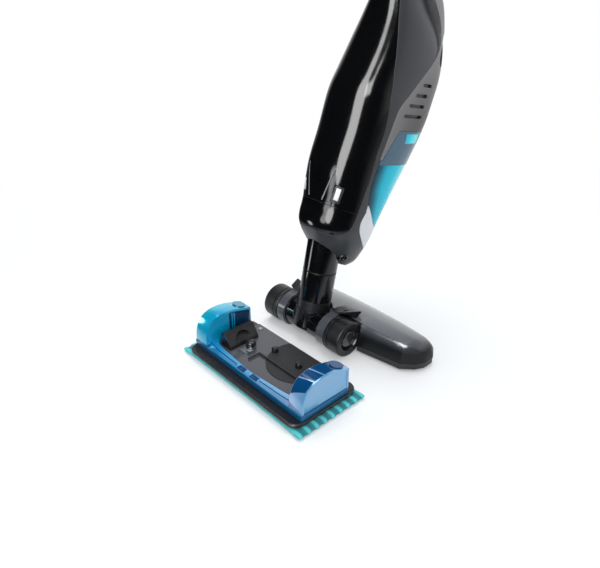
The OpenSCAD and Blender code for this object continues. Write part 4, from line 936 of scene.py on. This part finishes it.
def make_nose_leaves():
    """Silver inlay on each side of the cradle that carries the nose's tone past the seam."""
    top, foot = LEAF_EDGE[0][1], LEAF_EDGE[-1][1]
    tool = side_cut("leaf_tool", fair(LEAF_EDGE) + [(BEYOND, foot), (BEYOND, top)], BODY)
    for side, name in SIDES:
        leaf = body_form("nose_leaf_" + name, CRADLE_ROWS, -LEAF_PROUD, *LEAF_SPAN)
        carve(leaf, body_form("inner_tool", CRADLE_ROWS, LEAF_DEEP, *LEAF_CORE_SPAN))
        carve(leaf, tool, "INTERSECT", keep_tool=True)
        carve(leaf, ahead_of_seam(0.2))
        outer = side_block("side_tool", side, (LEAF_START, FAR), (-FAR, FAR), (0, FAR), BODY)
        carve(leaf, outer, "INTERSECT")
        dress(leaf, "stick", "silver", SILVER)
    drop(tool)


TUBE_HOLE = 22.65
LIP_WIDE, LIP_PROUD, LIP_DEEP = 5.0, 2.4, 1.5
LIP_LOW, LIP_HIGH = -10.0, 90.0
LIP_SPAN = (0.0, 0.4)


def make_tube_lip():
    """Glossy lip round the tube's way in."""
    lip = rod("tube_lip", TUBE_HOLE + LIP_WIDE, (0, 0, LIP_LOW), (0, 0, LIP_HIGH), TUBE, sides=96)
    carve(lip, rod("hole_tool", TUBE_HOLE + 0.1, (0, 0, LIP_LOW - 10), (0, 0, LIP_HIGH + 10), TUBE, sides=96))
    keep_skin(lip, -LIP_PROUD, LIP_DEEP, LIP_SPAN)
    bevelled(lip, 1.2, segments=3, angle=50)
    dress(lip, "stick", "gloss_black", GLOSS_BLACK)


EYELET_AT = (25.0, -1.0, 54.0)
EYELET_NORMAL = (0.73, -0.12, -0.67)
EYELET_RADIUS, EYELET_THICK = 5.0, 1.9
SCREW_RADIUS, SCREW_DEEP, SCREW_PROUD = 3.4, 2.0, 0.6
# Half width, half length and foot of the screw's crossed slots
CROSS_HALF, CROSS_LONG, CROSS_FOOT = 0.5, 3.0, 0.1


def make_lip_eyelets():
    """Ring at each end of the lip, with a cross-slotted screw in it."""
    for side, name in SIDES:
        facing = turned_to(Vector((side * EYELET_NORMAL[0], *EYELET_NORMAL[1:])))
        place = BODY @ Matrix.Translation((side * EYELET_AT[0], *EYELET_AT[1:])) @ facing
        ring = bmesh.new()
        upright = Matrix.Translation((EYELET_RADIUS, 0, 0)) @ Matrix.Rotation(math.pi / 2, 4, "X")
        bmesh.ops.create_circle(ring, segments=20, radius=EYELET_THICK, matrix=upright)
        dress(spun("lip_eyelet_" + name, ring, 48, place), "stick", "gloss_black", GLOSS_BLACK)
        screw = rod("lip_screw_" + name, SCREW_RADIUS, (0, 0, -SCREW_DEEP), (0, 0, SCREW_PROUD), place, 48)
        for across, ahead in ((CROSS_HALF, CROSS_LONG), (CROSS_LONG, CROSS_HALF)):
            carve(screw, block("slot_tool", (-across, -ahead, CROSS_FOOT), (across, ahead, 2), place))
        bevelled(screw, 0.2, segments=2, angle=50)
        dress(screw, "stick", "steel", SCREW_DARK)


PAD_HALF = Vector((2.9, 9.0, 7.3))
PAD_PROUD, PAD_DEEP = 0.35, 0.9


def make_button_reflection_pads():
    """Pale pad set on each release button, its white a painted reflection of a softbox."""
    for side, name in SIDES:
        pad = block("button_reflection_pad_" + name, -PAD_HALF, PAD_HALF, button_place(side))
        keep_skin(pad, -PAD_PROUD, PAD_DEEP, BUTTON_SPAN)
        face_outwards(pad)
        bevelled(pad, 0.35, segments=2, angle=50)
        dress(pad, "release_button_" + name, "light_plastic", BUTTON_REFLECTION_WHITE)


def cover_skin(name, span, low, high):
    """Thin cover over the cradle's back between two heights."""
    cover = body_form(name, CRADLE_ROWS, 0.0, *span)
    carve(cover, cover_band(low, high), "INTERSECT")
    return carve(cover, body_form("inner_tool", CRADLE_ROWS, COVER_DEEP, *span))


def make_rear_cover():
    cover = cover_skin("rear_cover", COVER_SPAN, BOOT_HIGH, COVER_HIGH)
    for side in (1, -1):
        carve(cover, button_pocket(side))
        carve(cover, button_notch(side))
    dress(cover, "stick", "gloss_black", GLOSS_BLACK, "back_cover")


def make_boot_cover():
    boot = cover_skin("boot_cover_skin", BOOT_SPAN, BOOT_LOW, BOOT_HIGH - GAP)
    dress(boot, "stick", "gloss_black", GLOSS_BLACK, "boot_cover")


HOLLOW_START, HOLLOW_END = 0.022, 0.915
TUBE_HOLE_TOP = 174.0
STEM_AHEAD, STEM_HOLE, STEM_FOOT = 40.0, 15.55, 423.8


def make_cradle():
    cradle = body_form("cradle", CRADLE_ROWS, 0.0, 0.0, CRADLE_END)
    carve(cradle, body_form("inner_tool", CRADLE_ROWS, CRADLE_WALL + COVER_DEEP, HOLLOW_START, HOLLOW_END))
    carve(cradle, ahead_of_seam(0.0))
    recess = cover_band(BOOT_LOW - GAP, COVER_HIGH + GAP, GAP)
    carve(recess, body_form("inner_tool", CRADLE_ROWS, COVER_DEEP + GAP, HOLLOW_START, CRADLE_END))
    carve(cradle, recess)
    for side in (1, -1):
        carve(cradle, button_pocket(side))
    carve(cradle, rod("tube_tool", TUBE_HOLE, (0, 0, 0), (0, 0, TUBE_HOLE_TOP), TUBE))
    carve(cradle, rod("stem_tool", STEM_HOLE, (0, STEM_AHEAD, STEM_FOOT), (0, STEM_AHEAD, 2 * FAR), TUBE))
    dress(cradle, "stick", "satin_grey", CRADLE_GREY, "cradle_shell")


# ---------- hand unit ----------

BIN_TOP = 264.0
BIN_WALL = 2.4
BIN_BOTTOM = [(-60, 129), (-14, 129), (12, 108), (40, 98), (90, 92)]
TONGUE_HALF, TONGUE_BACK, TONGUE_FRONT = 23.0, -20.0, 34.0
TONGUE_FOOT, TONGUE_TOP = 126.0, 325.0
# The tongue's rear corners, and how much of an inset they lose
TONGUE_CORNER, CORNER_LOSS = 8.0, 0.6


def tongue(inset):
    """Column that the hand unit carries into the cradle."""
    half, back, front = TONGUE_HALF - inset, TONGUE_BACK + inset, TONGUE_FRONT - inset
    corner = TONGUE_CORNER - inset * CORNER_LOSS
    outline = ((-half, back + corner), (-half + corner, back), (half - corner, back), (half, back + corner),
               (half, front), (-half, front))
    return prism("tongue_tool", [(x, y, TONGUE_FOOT + inset) for x, y in outline],
                 (0, 0, TONGUE_TOP - TONGUE_FOOT - 2 * inset), BODY)


def hand_form(name, inset=0.0):
    form = body_form(name, BODY_ROWS, inset)
    carve(form, ahead_of_seam(GAP + inset), "INTERSECT")
    return carve(form, tongue(inset), "UNION")


TAIL_TOP, TAIL_FOOT, TAIL_LONG = 42.0, 22.0, 36.0


def above_bin(gap):
    """Tool over the bin, with the housing's tail that runs down behind it."""
    level = BIN_TOP + gap
    return side_cut("above_tool", [
        (-FAR, level - TAIL_LONG), (TAIL_FOOT - gap, level - TAIL_LONG), (TAIL_TOP - gap, level),
        (FAR, level), (FAR, level + FAR), (-FAR, level + FAR)], TUBE)


def above_bin_bottom(gap):
    back, front = BIN_BOTTOM[0][0], BIN_BOTTOM[-1][0]
    return side_cut("over_bottom_tool", [(x, y + gap) for x, y in BIN_BOTTOM] + [(front, OVER), (back, OVER)],
                    BODY)


SLOT_LENGTHS = (34, 29, 22, 17)
SLOT_AHEAD = (63.0, 66.7, 73.0, 81.5)
SLOT_LOW, SLOT_PITCH, SLOT_HALF, SLOT_INNER = 282.0, 12.5, 2.0, 20.0
FINGER_AHEAD, FINGER_LOW, FINGER_HIGH, FINGER_HALF = 35.0, 328.0, 350.0, 9.5


def round_slot(name, half, across, start, end, place):
    """Long hole with round ends along a line in the place's side view."""
    shape = bmesh.new()
    for spot in (start, end):
        bmesh.ops.create_circle(shape, cap_ends=False, segments=48, radius=half,
                                matrix=Matrix.Translation((*spot, 0)))
    hull = bmesh.ops.convex_hull(shape, input=shape.verts, use_existing_faces=False)
    spare = [v for v in hull["geom_interior"] if isinstance(v, bmesh.types.BMVert)]
    bmesh.ops.delete(shape, geom=spare, context="VERTS")
    bmesh.ops.dissolve_limit(shape, angle_limit=0.01, verts=shape.verts, edges=shape.edges)
    pull_out(shape, (0, 0, across[1] - across[0]))
    to_side_view = Matrix(((0, 0, 1, across[0]), (1, 0, 0, 0), (0, 1, 0, 0), (0, 0, 0, 1)))
    return closed(name, shape, place @ to_side_view)


def finger_loop(grow):
    return round_slot("finger_tool", FINGER_HALF + grow, (-FAR / 2, FAR / 2),
                      (FINGER_AHEAD, FINGER_LOW), (FINGER_AHEAD, FINGER_HIGH), BODY)


SHELF = 362.0
SHELF_THICK = 2.0
LATCH_AHEAD, LATCH_UP, LATCH_DEEP = 119.0, 276.0, 0.35
LATCH_HALF = (13.35, 6.35)


def cut_slots(housing):
    for i, (length, ahead) in enumerate(zip(SLOT_LENGTHS, SLOT_AHEAD)):
        up = SLOT_LOW + i * SLOT_PITCH
        for reach in ((-FAR, -SLOT_INNER), (SLOT_INNER, FAR)):
            carve(housing, round_slot("slot_tool", SLOT_HALF, reach, (ahead - length / 2, up),
                                      (ahead + length / 2, up), TUBE))


def make_housing():
    housing = hand_form("housing_right")
    carve(housing, above_bin(GAP / 2), "INTERSECT")
    hollow = hand_form("hollow_tool", BIN_WALL)
    carve(hollow, above_bin(-1.0), "INTERSECT")
    carve(hollow, finger_loop(BIN_WALL))
    carve(hollow, block("shelf_tool", (-FAR, FINGER_AHEAD - FAR, SHELF),
                        (FAR, FINGER_AHEAD, SHELF + SHELF_THICK), BODY))
    carve(housing, hollow)
    carve(housing, finger_loop(0.0))
    cut_slots(housing)
    wide, tall = LATCH_HALF
    carve(housing, block("latch_tool", (-wide, LATCH_AHEAD - LATCH_DEEP, LATCH_UP - tall),
                         (wide, LATCH_AHEAD + 20, LATCH_UP + tall), TUBE))
    shells = (housing, twin(housing, "housing_left"))
    for shell, (side, name) in zip(shells, SIDES):
        half = side_block("half_tool", side, (GAP / 4, FAR), (-FAR, FAR), (0, 2 * FAR), BODY)
        carve(shell, half, "INTERSECT")
        mark_seam(shell)
        dress(shell, "hand_unit", "satin_grey", HAND_GREY, "hand_shell_" + name)


INLET_RADIUS, INLET_AHEAD, INLET_LOW, INLET_HIGH = 9.0, 32.0, 90.0, 117.0


def make_bin():
    bin_shell = hand_form("clear_bin")
    carve(bin_shell, above_bin_bottom(0.0), "INTERSECT")
    carve(bin_shell, above_bin(-GAP / 2))
    hollow = hand_form("hollow_tool", BIN_WALL)
    carve(hollow, above_bin_bottom(BIN_WALL), "INTERSECT")
    carve(bin_shell, hollow)
    foot, top = (0, INLET_AHEAD, INLET_LOW), (0, INLET_AHEAD, INLET_HIGH)
    carve(bin_shell, rod("inlet_tool", INLET_RADIUS, foot, top, BODY))
    mark_seam(bin_shell)
    dress(bin_shell, "dust_bin", "bin_cyan", BIN_CYAN, "dust_bin")


# Painted shade: a dark sheet inside the housing keeps the exhaust slots dark
SHADE_SHEET_DEEP, SHADE_SHEET_THICK = 3.0, 1.0
SHADE_SHEET_ACROSS, SHADE_SHEET_AHEAD, SHADE_SHEET_UP = (24.0, FAR), (40, 96), (274, 326)


def make_slot_shade_sheet():
    """Dark sheet behind the exhaust slots, painted shade for the inside of the housing."""
    for side, name in SIDES:
        shade_sheet = hand_form("slot_shade_sheet_" + name, SHADE_SHEET_DEEP)
        carve(shade_sheet, hand_form("inner_tool", SHADE_SHEET_DEEP + SHADE_SHEET_THICK))
        carve(shade_sheet, side_block("plate_tool", side, SHADE_SHEET_ACROSS, SHADE_SHEET_AHEAD, SHADE_SHEET_UP, TUBE), "INTERSECT")
        dress(shade_sheet, "hand_unit", "satin_black", MOULD_BLACK)


COLLAR_LOW, COLLAR_PROUD = 222.0, 0.35
# Width, depth, corner, foot and top of the collar's window, and how far ahead it lies
COLLAR_WINDOW = (150.0, 34.0, 3.0, 249.0, 261.0)
COLLAR_WINDOW_AHEAD = 75.0


def make_bin_collar():
    """Smoky sleeve round the bin's top, over the filter, with a clear window at the front."""
    collar = hand_form("bin_collar", -COLLAR_PROUD)
    carve(collar, above_bin(-0.2))
    carve(collar, block("low_tool", (-FAR, -FAR, -FAR), (FAR, FAR, COLLAR_LOW), TUBE))
    carve(collar, hand_form("inner_tool", 0.02))
    carve(collar, rounded_slab("window_tool", *COLLAR_WINDOW,
                               TUBE @ Matrix.Translation((0, COLLAR_WINDOW_AHEAD, 0))))
    carve(collar, side_cut("seam_tool", [(p.x + 1.0, p.y) for p in fair(SEAM)]
                           + [(-BEYOND, OVER), (-BEYOND, 60)], BODY))
    dress(collar, "dust_bin", "bin_cyan", COLLAR_SMOKE)


NOSE_BACK, NOSE_HIGH, NOSE_LOW = -14.0, 130.0, 60.0
MOUTH_FOOT, MOUTH_HIGH, MOUTH_HALF, DUCT_WALL = 127.3, 151.3, 15.0, 2.2
DUCT = ((-11, -24, 88), (11, 8, 104))


def make_nose():
    nose = body_form("nose", BODY_ROWS)
    carve(nose, ahead_of_seam(GAP), "INTERSECT")
    carve(nose, side_cut("nose_tool", [(NOSE_BACK, NOSE_LOW), (BEYOND, NOSE_LOW), (BEYOND, NOSE_HIGH),
                                       (NOSE_BACK, NOSE_HIGH)], BODY), "INTERSECT")
    carve(nose, above_bin_bottom(-GAP))
    hollow = body_form("hollow_tool", BODY_ROWS, BIN_WALL)
    carve(hollow, ahead_of_seam(BIN_WALL + GAP), "INTERSECT")
    carve(nose, hollow)
    carve(nose, rod("mouth", MOUTH_HALF, (0, 0, MOUTH_FOOT), (0, 0, MOUTH_HIGH), TUBE), "UNION")
    low, high = Vector(DUCT[0]), Vector(DUCT[1])
    carve(nose, block("duct", low, high, BODY), "UNION")
    carve(nose, rod("mouth_tool", MOUTH_HALF - DUCT_WALL, (0, 0, MOUTH_FOOT - 1),
                    (0, 0, MOUTH_HIGH - DUCT_WALL), TUBE))
    wall = Vector((DUCT_WALL,) * 3)
    carve(nose, block("duct_tool", low + wall, high - wall + Vector((0, DUCT_WALL + 1, 0)), BODY))
    dress(nose, "hand_unit", "silver", SILVER, "nose_cover")


make_rear_cover()
make_boot_cover()
make_cradle()
make_housing()
make_slot_shade_sheet()
make_bin()
make_bin_collar()
make_nose()
make_button_reflection_pads()
make_notch_edges()
make_nose_leaves()
make_tube_lip()
make_lip_eyelets()

# ---------- wheels ----------

# Radius and height of the points along the disc's profile
HUB_DOME = ((0.0, 2.6), (4.0, 2.4), (8.0, 1.7), (10.6, 0.7), (11.0, 0.2), (11.0, -1.0))
HUB_SUNK = 2.4


def corners(node):
    """A CAD node's lowest and highest corners, in metres."""
    return tuple(Vector(corner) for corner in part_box(node))


def make_hub_discs():
    """Domed glossy disc in the middle of each wheel."""
    for side, name in SIDES:
        low, high = corners("wheel_hub_" + name)
        outer = high.x if side > 0 else low.x
        shape = bmesh.new()
        line = [shape.verts.new((0, radius, height)) for radius, height in HUB_DOME]
        for pair in zip(line, line[1:]):
            shape.edges.new(pair)
        outwards = Matrix.Rotation(side * math.pi / 2, 4, "Y")
        place = Matrix.Translation((outer, AXLE.y, AXLE.z)) @ outwards @ SCALE
        disc = spun("hub_disc_" + name, shape, 64, place @ Matrix.Translation((0, 0, -HUB_SUNK)))
        dress(disc, "wheel_" + name, "satin_black", HUB_GREY)


make_hub_discs()

# ---------- wet mop ----------

plate_low, plate_high = corners("mop_plate")
MOP = Matrix.Translation(((plate_low.x + plate_high.x) / 2, (plate_low.y + plate_high.y) / 2, 0)) @ SCALE
TANK_WIDE, TANK_DEEP, TANK_BASE, TANK_SHIFT = 203.0, 74.0, 11.6, -1.6
TOWER_THICK, TOWER_TALL, TOWER_REAR = 22.0, 45.0, 0.8
TANK_FRONT = -TANK_DEEP / 2
TOWER_INNER = TANK_WIDE / 2 - TOWER_THICK
FOOT_TALL, FOOT_OUT, BAND_TALL = 3.6, 0.6, 8.0
TOWER_ARC = [(-0.5, 0), (-0.484, 0.4), (-0.44, 0.667), (-0.35, 0.87), (-0.2, 0.98), (-0.03, 1), (0.16, 0.96)]
TANK = MOP @ Matrix.Translation((0, TANK_SHIFT, TANK_BASE))


def tower_outline(grow=1.0, low=0.0):
    """Side view of a tower, from its front foot over the crown to its rear foot."""
    arc = [(p.x * TANK_DEEP * grow, max(p.y * TOWER_TALL * grow, low)) for p in fair(TOWER_ARC, 8)]
    return arc + [(0.5 * TANK_DEEP * grow, TOWER_REAR * TOWER_TALL * grow), (0.5 * TANK_DEEP * grow, low)]


def tower_prism(name, side, outline, near, far):
    """Prism on a tower, from near to far millimetres in from the tank's end."""
    middle = side * (TANK_WIDE / 2 - (near + far) / 2)
    return side_cut(name, outline, TANK @ Matrix.Translation((middle, 0, 0)), (far - near) / 2)


def cap_middle(name):
    """Middle of a filler cap, in the mop's millimetres."""
    low, high = corners("filler_cap_" + name)
    return MOP.inverted() @ ((low + high) / 2)


CAP_BORE = 6.9
FACE_DEEP = 0.8
# Sunk panel on a tower's inner side, from its start and foot to its end and top, and the ribs in it
RIB_PANEL = ((12.0, 9.0), (32.0, 34.0))
RIBS, RIB_PITCH, RIB_HALF = 6, 2.86, 0.7
# Where the two upright bars beside the panel start, and their thickness, foot and top
BARS = (5.0, 8.4)
BAR_THICK, BAR_LOW, BAR_HIGH = 1.7, 6.0, 40.5


def make_tower(side, name):
    tower = tower_prism("tower_" + name, side, tower_outline(1.0, FOOT_TALL - 0.2), 0.0, TOWER_THICK)
    carve(tower, tower_prism("face_tool", side, tower_outline(0.919, FOOT_TALL + 0.8), -1.0, FACE_DEEP))
    (first, low), (last, high) = RIB_PANEL
    sunk = (TOWER_INNER - 1, TOWER_INNER + 1.2)
    carve(tower, side_block("panel_tool", side, sunk, (first, last), (low, high), TANK))
    for i in range(RIBS):
        start = first + (i + 1) * RIB_PITCH - RIB_HALF
        carve(tower, side_block("rib", side, (TOWER_INNER + 0.2, TOWER_INNER + 1.4),
                                (start, start + 2 * RIB_HALF), (low - 0.2, high + 0.2), TANK), "UNION")
    for i, ahead in enumerate(BARS):
        carve(tower, side_block("bar", side, (TOWER_INNER - 0.9, TOWER_INNER + 1), (ahead, ahead + BAR_THICK),
                                (BAR_LOW, BAR_HIGH - i), TANK), "UNION")
    middle = cap_middle(name)
    crown_ahead, crown_tall = TOWER_ARC[-1]
    tilt = math.atan((crown_tall - TOWER_REAR) * TOWER_TALL / ((0.5 - crown_ahead) * TANK_DEEP))
    up = Vector((0, math.sin(tilt), math.cos(tilt)))
    carve(tower, rod("bore_tool", CAP_BORE, middle - up * 6.0, middle + up * 14.0, MOP))
    bevelled(tower, 0.7, segments=3, angle=40)
    dress(tower, "mop", "tank_blue", TANK_PAINT, "tank_frame")


INNER_RIBS, INNER_RIB_START, INNER_RIB_PITCH, INNER_RIB_THICK = 7, 10.5, 3.3, 1.5
INNER_RIB_LOW, INNER_RIB_HIGH, INNER_RIB_DROP = 8.5, 35.5, 0.5


def make_inner_panel(side, name):
    """Dark ribbed panel on the side of a tower that faces the deck."""
    panel = tower_prism("inner_panel_" + name, side, tower_outline(0.93, 7.0), TOWER_THICK - 0.5,
                        TOWER_THICK + 0.7)
    carve(panel, block("front_tool", (-FAR, -FAR, -FAR), (FAR, 1.5, FAR), TANK))
    for i in range(INNER_RIBS):
        ahead = INNER_RIB_START + i * INNER_RIB_PITCH
        carve(panel, side_block("rib", side, (TOWER_INNER - 1.6, TOWER_INNER + 0.3),
                                (ahead, ahead + INNER_RIB_THICK),
                                (INNER_RIB_LOW, INNER_RIB_HIGH - INNER_RIB_DROP * i), TANK), "UNION")
    bevelled(panel, 0.25, segments=2, angle=50)
    dress(panel, "mop", "tank_blue", PANEL_TEAL if side < 0 else TANK_DEEP_BLUE)


def make_arc_trim(side, name):
    """Dark line along the curve of a tower's end face."""
    trim = tower_prism("arc_trim_" + name, side, tower_outline(0.955, FOOT_TALL + 0.5), 0.25, 1.0)
    carve(trim, tower_prism("inner_tool", side, tower_outline(0.918, FOOT_TALL - 1.5), -1.0, 3.0))
    carve(trim, block("rear_tool", (-FAR, 0.4 * TANK_DEEP, -FAR), (FAR, FAR, FAR), TANK))
    dress(trim, "mop", "tank_blue", TANK_DEEP_BLUE)


# Start and end along the crown, then how far the outer edge is drawn in at each
CROWN_TILES = [(-32.0, -20.0, 2.4, 2.4), (-18.0, -4.6, 2.4, 2.8), (-2.2, 33.0, 2.8, 6.6)]
TILE_SLANT, TILE_BOW = 2.4, 0.9
CAP_CLEAR = 9.0


def make_crown_tiles():
    """Dark glossy panels over the right tower's crown, split by narrow light lines."""
    edge, inner = TANK_WIDE / 2, TOWER_INNER - 1
    for i, (start, end, near, far) in enumerate(CROWN_TILES, 1):
        tile = tower_prism("crown_tile_%d" % i, 1, tower_outline(1.007), 0.4, TOWER_THICK - 0.5)
        carve(tile, tower_prism("core_tool", 1, tower_outline(0.985), -3.0, TOWER_THICK + 3.0))
        rim = [(inner, start - TILE_SLANT), (inner, end - TILE_SLANT), (edge - far, end + TILE_SLANT),
               (edge - (near + far) / 2 + TILE_BOW, (start + end) / 2), (edge - near, start + TILE_SLANT)]
        carve(tile, prism("tile_tool", [(x, y, 0.45 * TOWER_TALL) for x, y in rim], (0, 0, TOWER_TALL), TANK),
              "INTERSECT")
        if i == len(CROWN_TILES):
            middle, up = cap_middle("right"), Vector((0, 0, 12))
            carve(tile, rod("cap_tool", CAP_CLEAR, middle - up, middle + up, MOP))
        dress(tile, "mop", "tank_blue", TANK_DEEP_BLUE)


RAIL_TALL, RAIL_DEEP, RAIL_WAIST, RAIL_FLARE = 9.0, 14.0, 0.32, 8.0
RAIL_HALF = TOWER_INNER + 0.5
RAIL_STEPS = 40
WINDOWS = ((-19.0, -5.0), (5.0, 19.0))
WINDOW_NEAR, WINDOW_FAR, PANE_THICK = 2.6, 9.0, 2.4


def rail_points(x):
    """Section of the rail at x, as [ahead, up] points."""
    share = abs(x) / RAIL_HALF
    deep = RAIL_DEEP * (1 - RAIL_WAIST * (1 - share)) + RAIL_FLARE * share ** 10
    front = TANK_FRONT
    tall = RAIL_TALL * (0.8 + 0.2 * share)
    return [(front, FOOT_TALL - 0.2), (front + 0.3, FOOT_TALL + 1.2), (front + 3 + deep * 0.25, tall),
            (front + deep - 0.8, tall + 0.6), (front + deep, tall - 0.4), (front + deep, FOOT_TALL - 0.2)]


def bar_section(x, points):
    """Ring of a bar at x across the tank, through [ahead, up] points."""
    return lambda index, point: Vector((x, *points[index]))


def window_block(name, start, end, top):
    """Block in one of the rail's windows, from the foot up."""
    near, far = TANK_FRONT + WINDOW_NEAR, TANK_FRONT + WINDOW_FAR
    return block(name, (start, near, FOOT_TALL), (end, far, top), TANK)


def make_rail():
    places = [RAIL_HALF * (2 * i / RAIL_STEPS - 1) for i in range(RAIL_STEPS + 1)]
    rail = loft("tank_rail", 6, [bar_section(x, rail_points(x)) for x in places], TANK)
    for window in WINDOWS:
        carve(rail, window_block("window_tool", *window, FAR))
    bevelled(rail, 0.35, segments=2, angle=25)
    dress(rail, "mop", "tank_blue", TANK_PAINT, "tank_frame")
    for window, name in zip(WINDOWS, ("left", "right")):
        pane = window_block("window_pane_" + name, *window, FOOT_TALL + PANE_THICK)
        bevelled(pane, 0.4)
        dress(pane, "mop", "tank_blue", TANK_DEEP_BLUE)


LINE_HALF, LINE_LOW, LINE_HIGH = 0.45, 0.5, 0.28
LINE_START, LINE_STEP, LINE_RINGS = 21.5, 3.0, 20


def line_section(x):
    """Ring of the joint line, on the rail's inner ledge at x."""
    ahead, up = rail_points(x)[2]
    near, far, low, high = ahead - LINE_HALF, ahead + LINE_HALF, up - LINE_LOW, up + LINE_HIGH
    return bar_section(x, [(near, low), (far, low), (far, high), (near, high)])


def make_rail_line():
    """Dark joint line along the rail, below its inner ledge."""
    for side, name in reversed(SIDES):
        places = [side * (LINE_START + i * LINE_STEP) for i in range(LINE_RINGS)]
        line = loft("rail_line_" + name, 4, [line_section(x) for x in places], TANK)
        dress(line, "mop", "tank_blue", TANK_DEEP_BLUE)


def make_foot_band():
    """Dark band that runs round the tank's foot."""
    half, deep = TANK_WIDE / 2 + FOOT_OUT, TANK_DEEP / 2 + FOOT_OUT
    band = block("foot_band", (-half, -deep, 0.0), (half, TANK_DEEP / 2, BAND_TALL), TANK)
    rail_back = TANK_FRONT + RAIL_DEEP * (1 - RAIL_WAIST)
    carve(band, block("bay_tool", (-RAIL_HALF, rail_back, -FAR), (RAIL_HALF, FAR, FAR), TANK))
    bevelled(band, 0.5, segments=2)
    inner = RAIL_HALF - 2
    carve(band, block("rail_tool", (-inner, TANK_FRONT, FOOT_TALL), (inner, FAR, FAR), TANK))
    dress(band, "mop", "tank_blue", FOOT_BLUE, "tank_frame")


PLATE_WIDE, PLATE_DEEP, PLATE_CORNER, PLATE_LIP = 208.0, 104.0, 14.0, 3.2
WELL_DEEP, WELL_END, WELL_CLEAR = 0.7, 49.7, 0.2
PAD_THICK = 7.0


def make_plate():
    plate = rounded_slab("sole_plate", PLATE_WIDE, PLATE_DEEP, PLATE_CORNER, PAD_THICK, TANK_BASE, MOP)
    bevelled(plate, 1.3, segments=4)
    well = rounded_slab("well_tool", PLATE_WIDE - 2 * PLATE_LIP, PLATE_DEEP - 2 * PLATE_LIP,
                        PLATE_CORNER - PLATE_LIP, TANK_BASE - WELL_DEEP, TANK_BASE + 5, MOP)
    half, deep = TANK_WIDE / 2 + FOOT_OUT + WELL_CLEAR, TANK_DEEP / 2 + FOOT_OUT + WELL_CLEAR
    carve(well, block("seat_tool", (-half, TANK_SHIFT - deep, 0), (half, WELL_END, FAR), MOP))
    carve(plate, well)
    bevelled(plate, 0.25, segments=2, angle=50)
    dress(plate, "mop", "satin_black", PLATE_BLACK, "mop_plate")


CLOTH_WIDE, CLOTH_DEEP, CLOTH_TOP = 234.0, 112.0, 6.0
# The pad starts smaller than the cloth, because it swells
CLOTH_IN, CLOTH_CORNER, CLOTH_FOOT = 1.2, 4.0, 0.9
CLOTH_VOXEL = 0.0036
CLOTH_SWELL = 0.0012
AIR_PRESSURE, AIR_FRAMES = 4, 20
# End tufts: how far in they start, how far they stand out, and how far they are drawn back
TUFT_REACH, TUFT_OUT, TUFT_BACK = 10.0, 2.4, 0.9
LOOP_TALL, LOOP_SUNK, COVERED_OUT = 1.1, 0.35, 0.8


def inflate(pad):
    """Swells the pad with air, each point by no more than the cloth lets it."""
    rest = [v.co.copy() for v in pad.data.vertices]
    air = pad.modifiers.new("air", "CLOTH")
    air.settings.quality = 4
    air.settings.mass = 0.2
    air.settings.use_pressure = True
    air.settings.uniform_pressure_force = AIR_PRESSURE
    air.settings.effector_weights.gravity = 0
    air.point_cache.frame_start, air.point_cache.frame_end = 1, AIR_FRAMES
    for step in range(1, AIR_FRAMES + 1):
        bpy.context.scene.frame_set(step)
    settle(pad)
    bpy.context.scene.frame_set(1)
    for vertex, old in zip(pad.data.vertices, rest):
        move = vertex.co - old
        if move.length > CLOTH_SWELL:
            vertex.co = old + move.normalized() * CLOTH_SWELL


def press_channels(pad):
    """Presses the woven channels into the pad and draws its ends out into tufts."""
    back = MOP.inverted()
    pitch = CLOTH_DEEP / STRIPES
    for vertex in pad.data.vertices:
        x, y, z = back @ vertex.co
        loop = abs(math.cos(math.pi * (y + CLOTH_DEEP / 2) / pitch))
        end = min(max((abs(x) - CLOTH_WIDE / 2 + TUFT_REACH) / TUFT_REACH, 0.0), 1.0)
        x += math.copysign(1.0, x) * end * (TUFT_OUT * (1 - loop ** 3) - TUFT_BACK)
        if z > CLOTH_TOP / 2:
            covered = abs(x) < PLATE_WIDE / 2 + COVERED_OUT and abs(y) < PLATE_DEEP / 2 + COVERED_OUT
            z = min(z, CLOTH_TOP - 0.3) + (0.0 if covered else LOOP_TALL * (1 - loop ** 3) - LOOP_SUNK)
        else:
            z = max(z, 0.05)
        vertex.co = MOP @ Vector((x, y, z))


def make_cloth():
    """Thin looped pad: inflated by simulation, then its woven channels are pressed in."""
    pad = rounded_slab("mop_pad", CLOTH_WIDE - 2 * CLOTH_IN, CLOTH_DEEP - 2 * CLOTH_IN, CLOTH_CORNER,
                       CLOTH_FOOT, CLOTH_TOP - 1.0, MOP, 3)
    remesh = pad.modifiers.new("remesh", "REMESH")
    remesh.mode = "VOXEL"
    remesh.voxel_size = CLOTH_VOXEL
    settle(pad)
    inflate(pad)
    finer = pad.modifiers.new("finer", "SUBSURF")
    finer.levels = finer.render_levels = 1
    settle(pad)
    press_channels(pad)
    dress(pad, "mop", "cloth", CLOTH, "mop_cloth")
    round_off(pad, math.radians(80))


for make_on_side in (make_tower, make_inner_panel, make_arc_trim):
    for side, name in reversed(SIDES):
        make_on_side(side, name)
make_crown_tiles()
make_rail()
make_rail_line()
make_foot_band()
make_plate()
make_cloth()
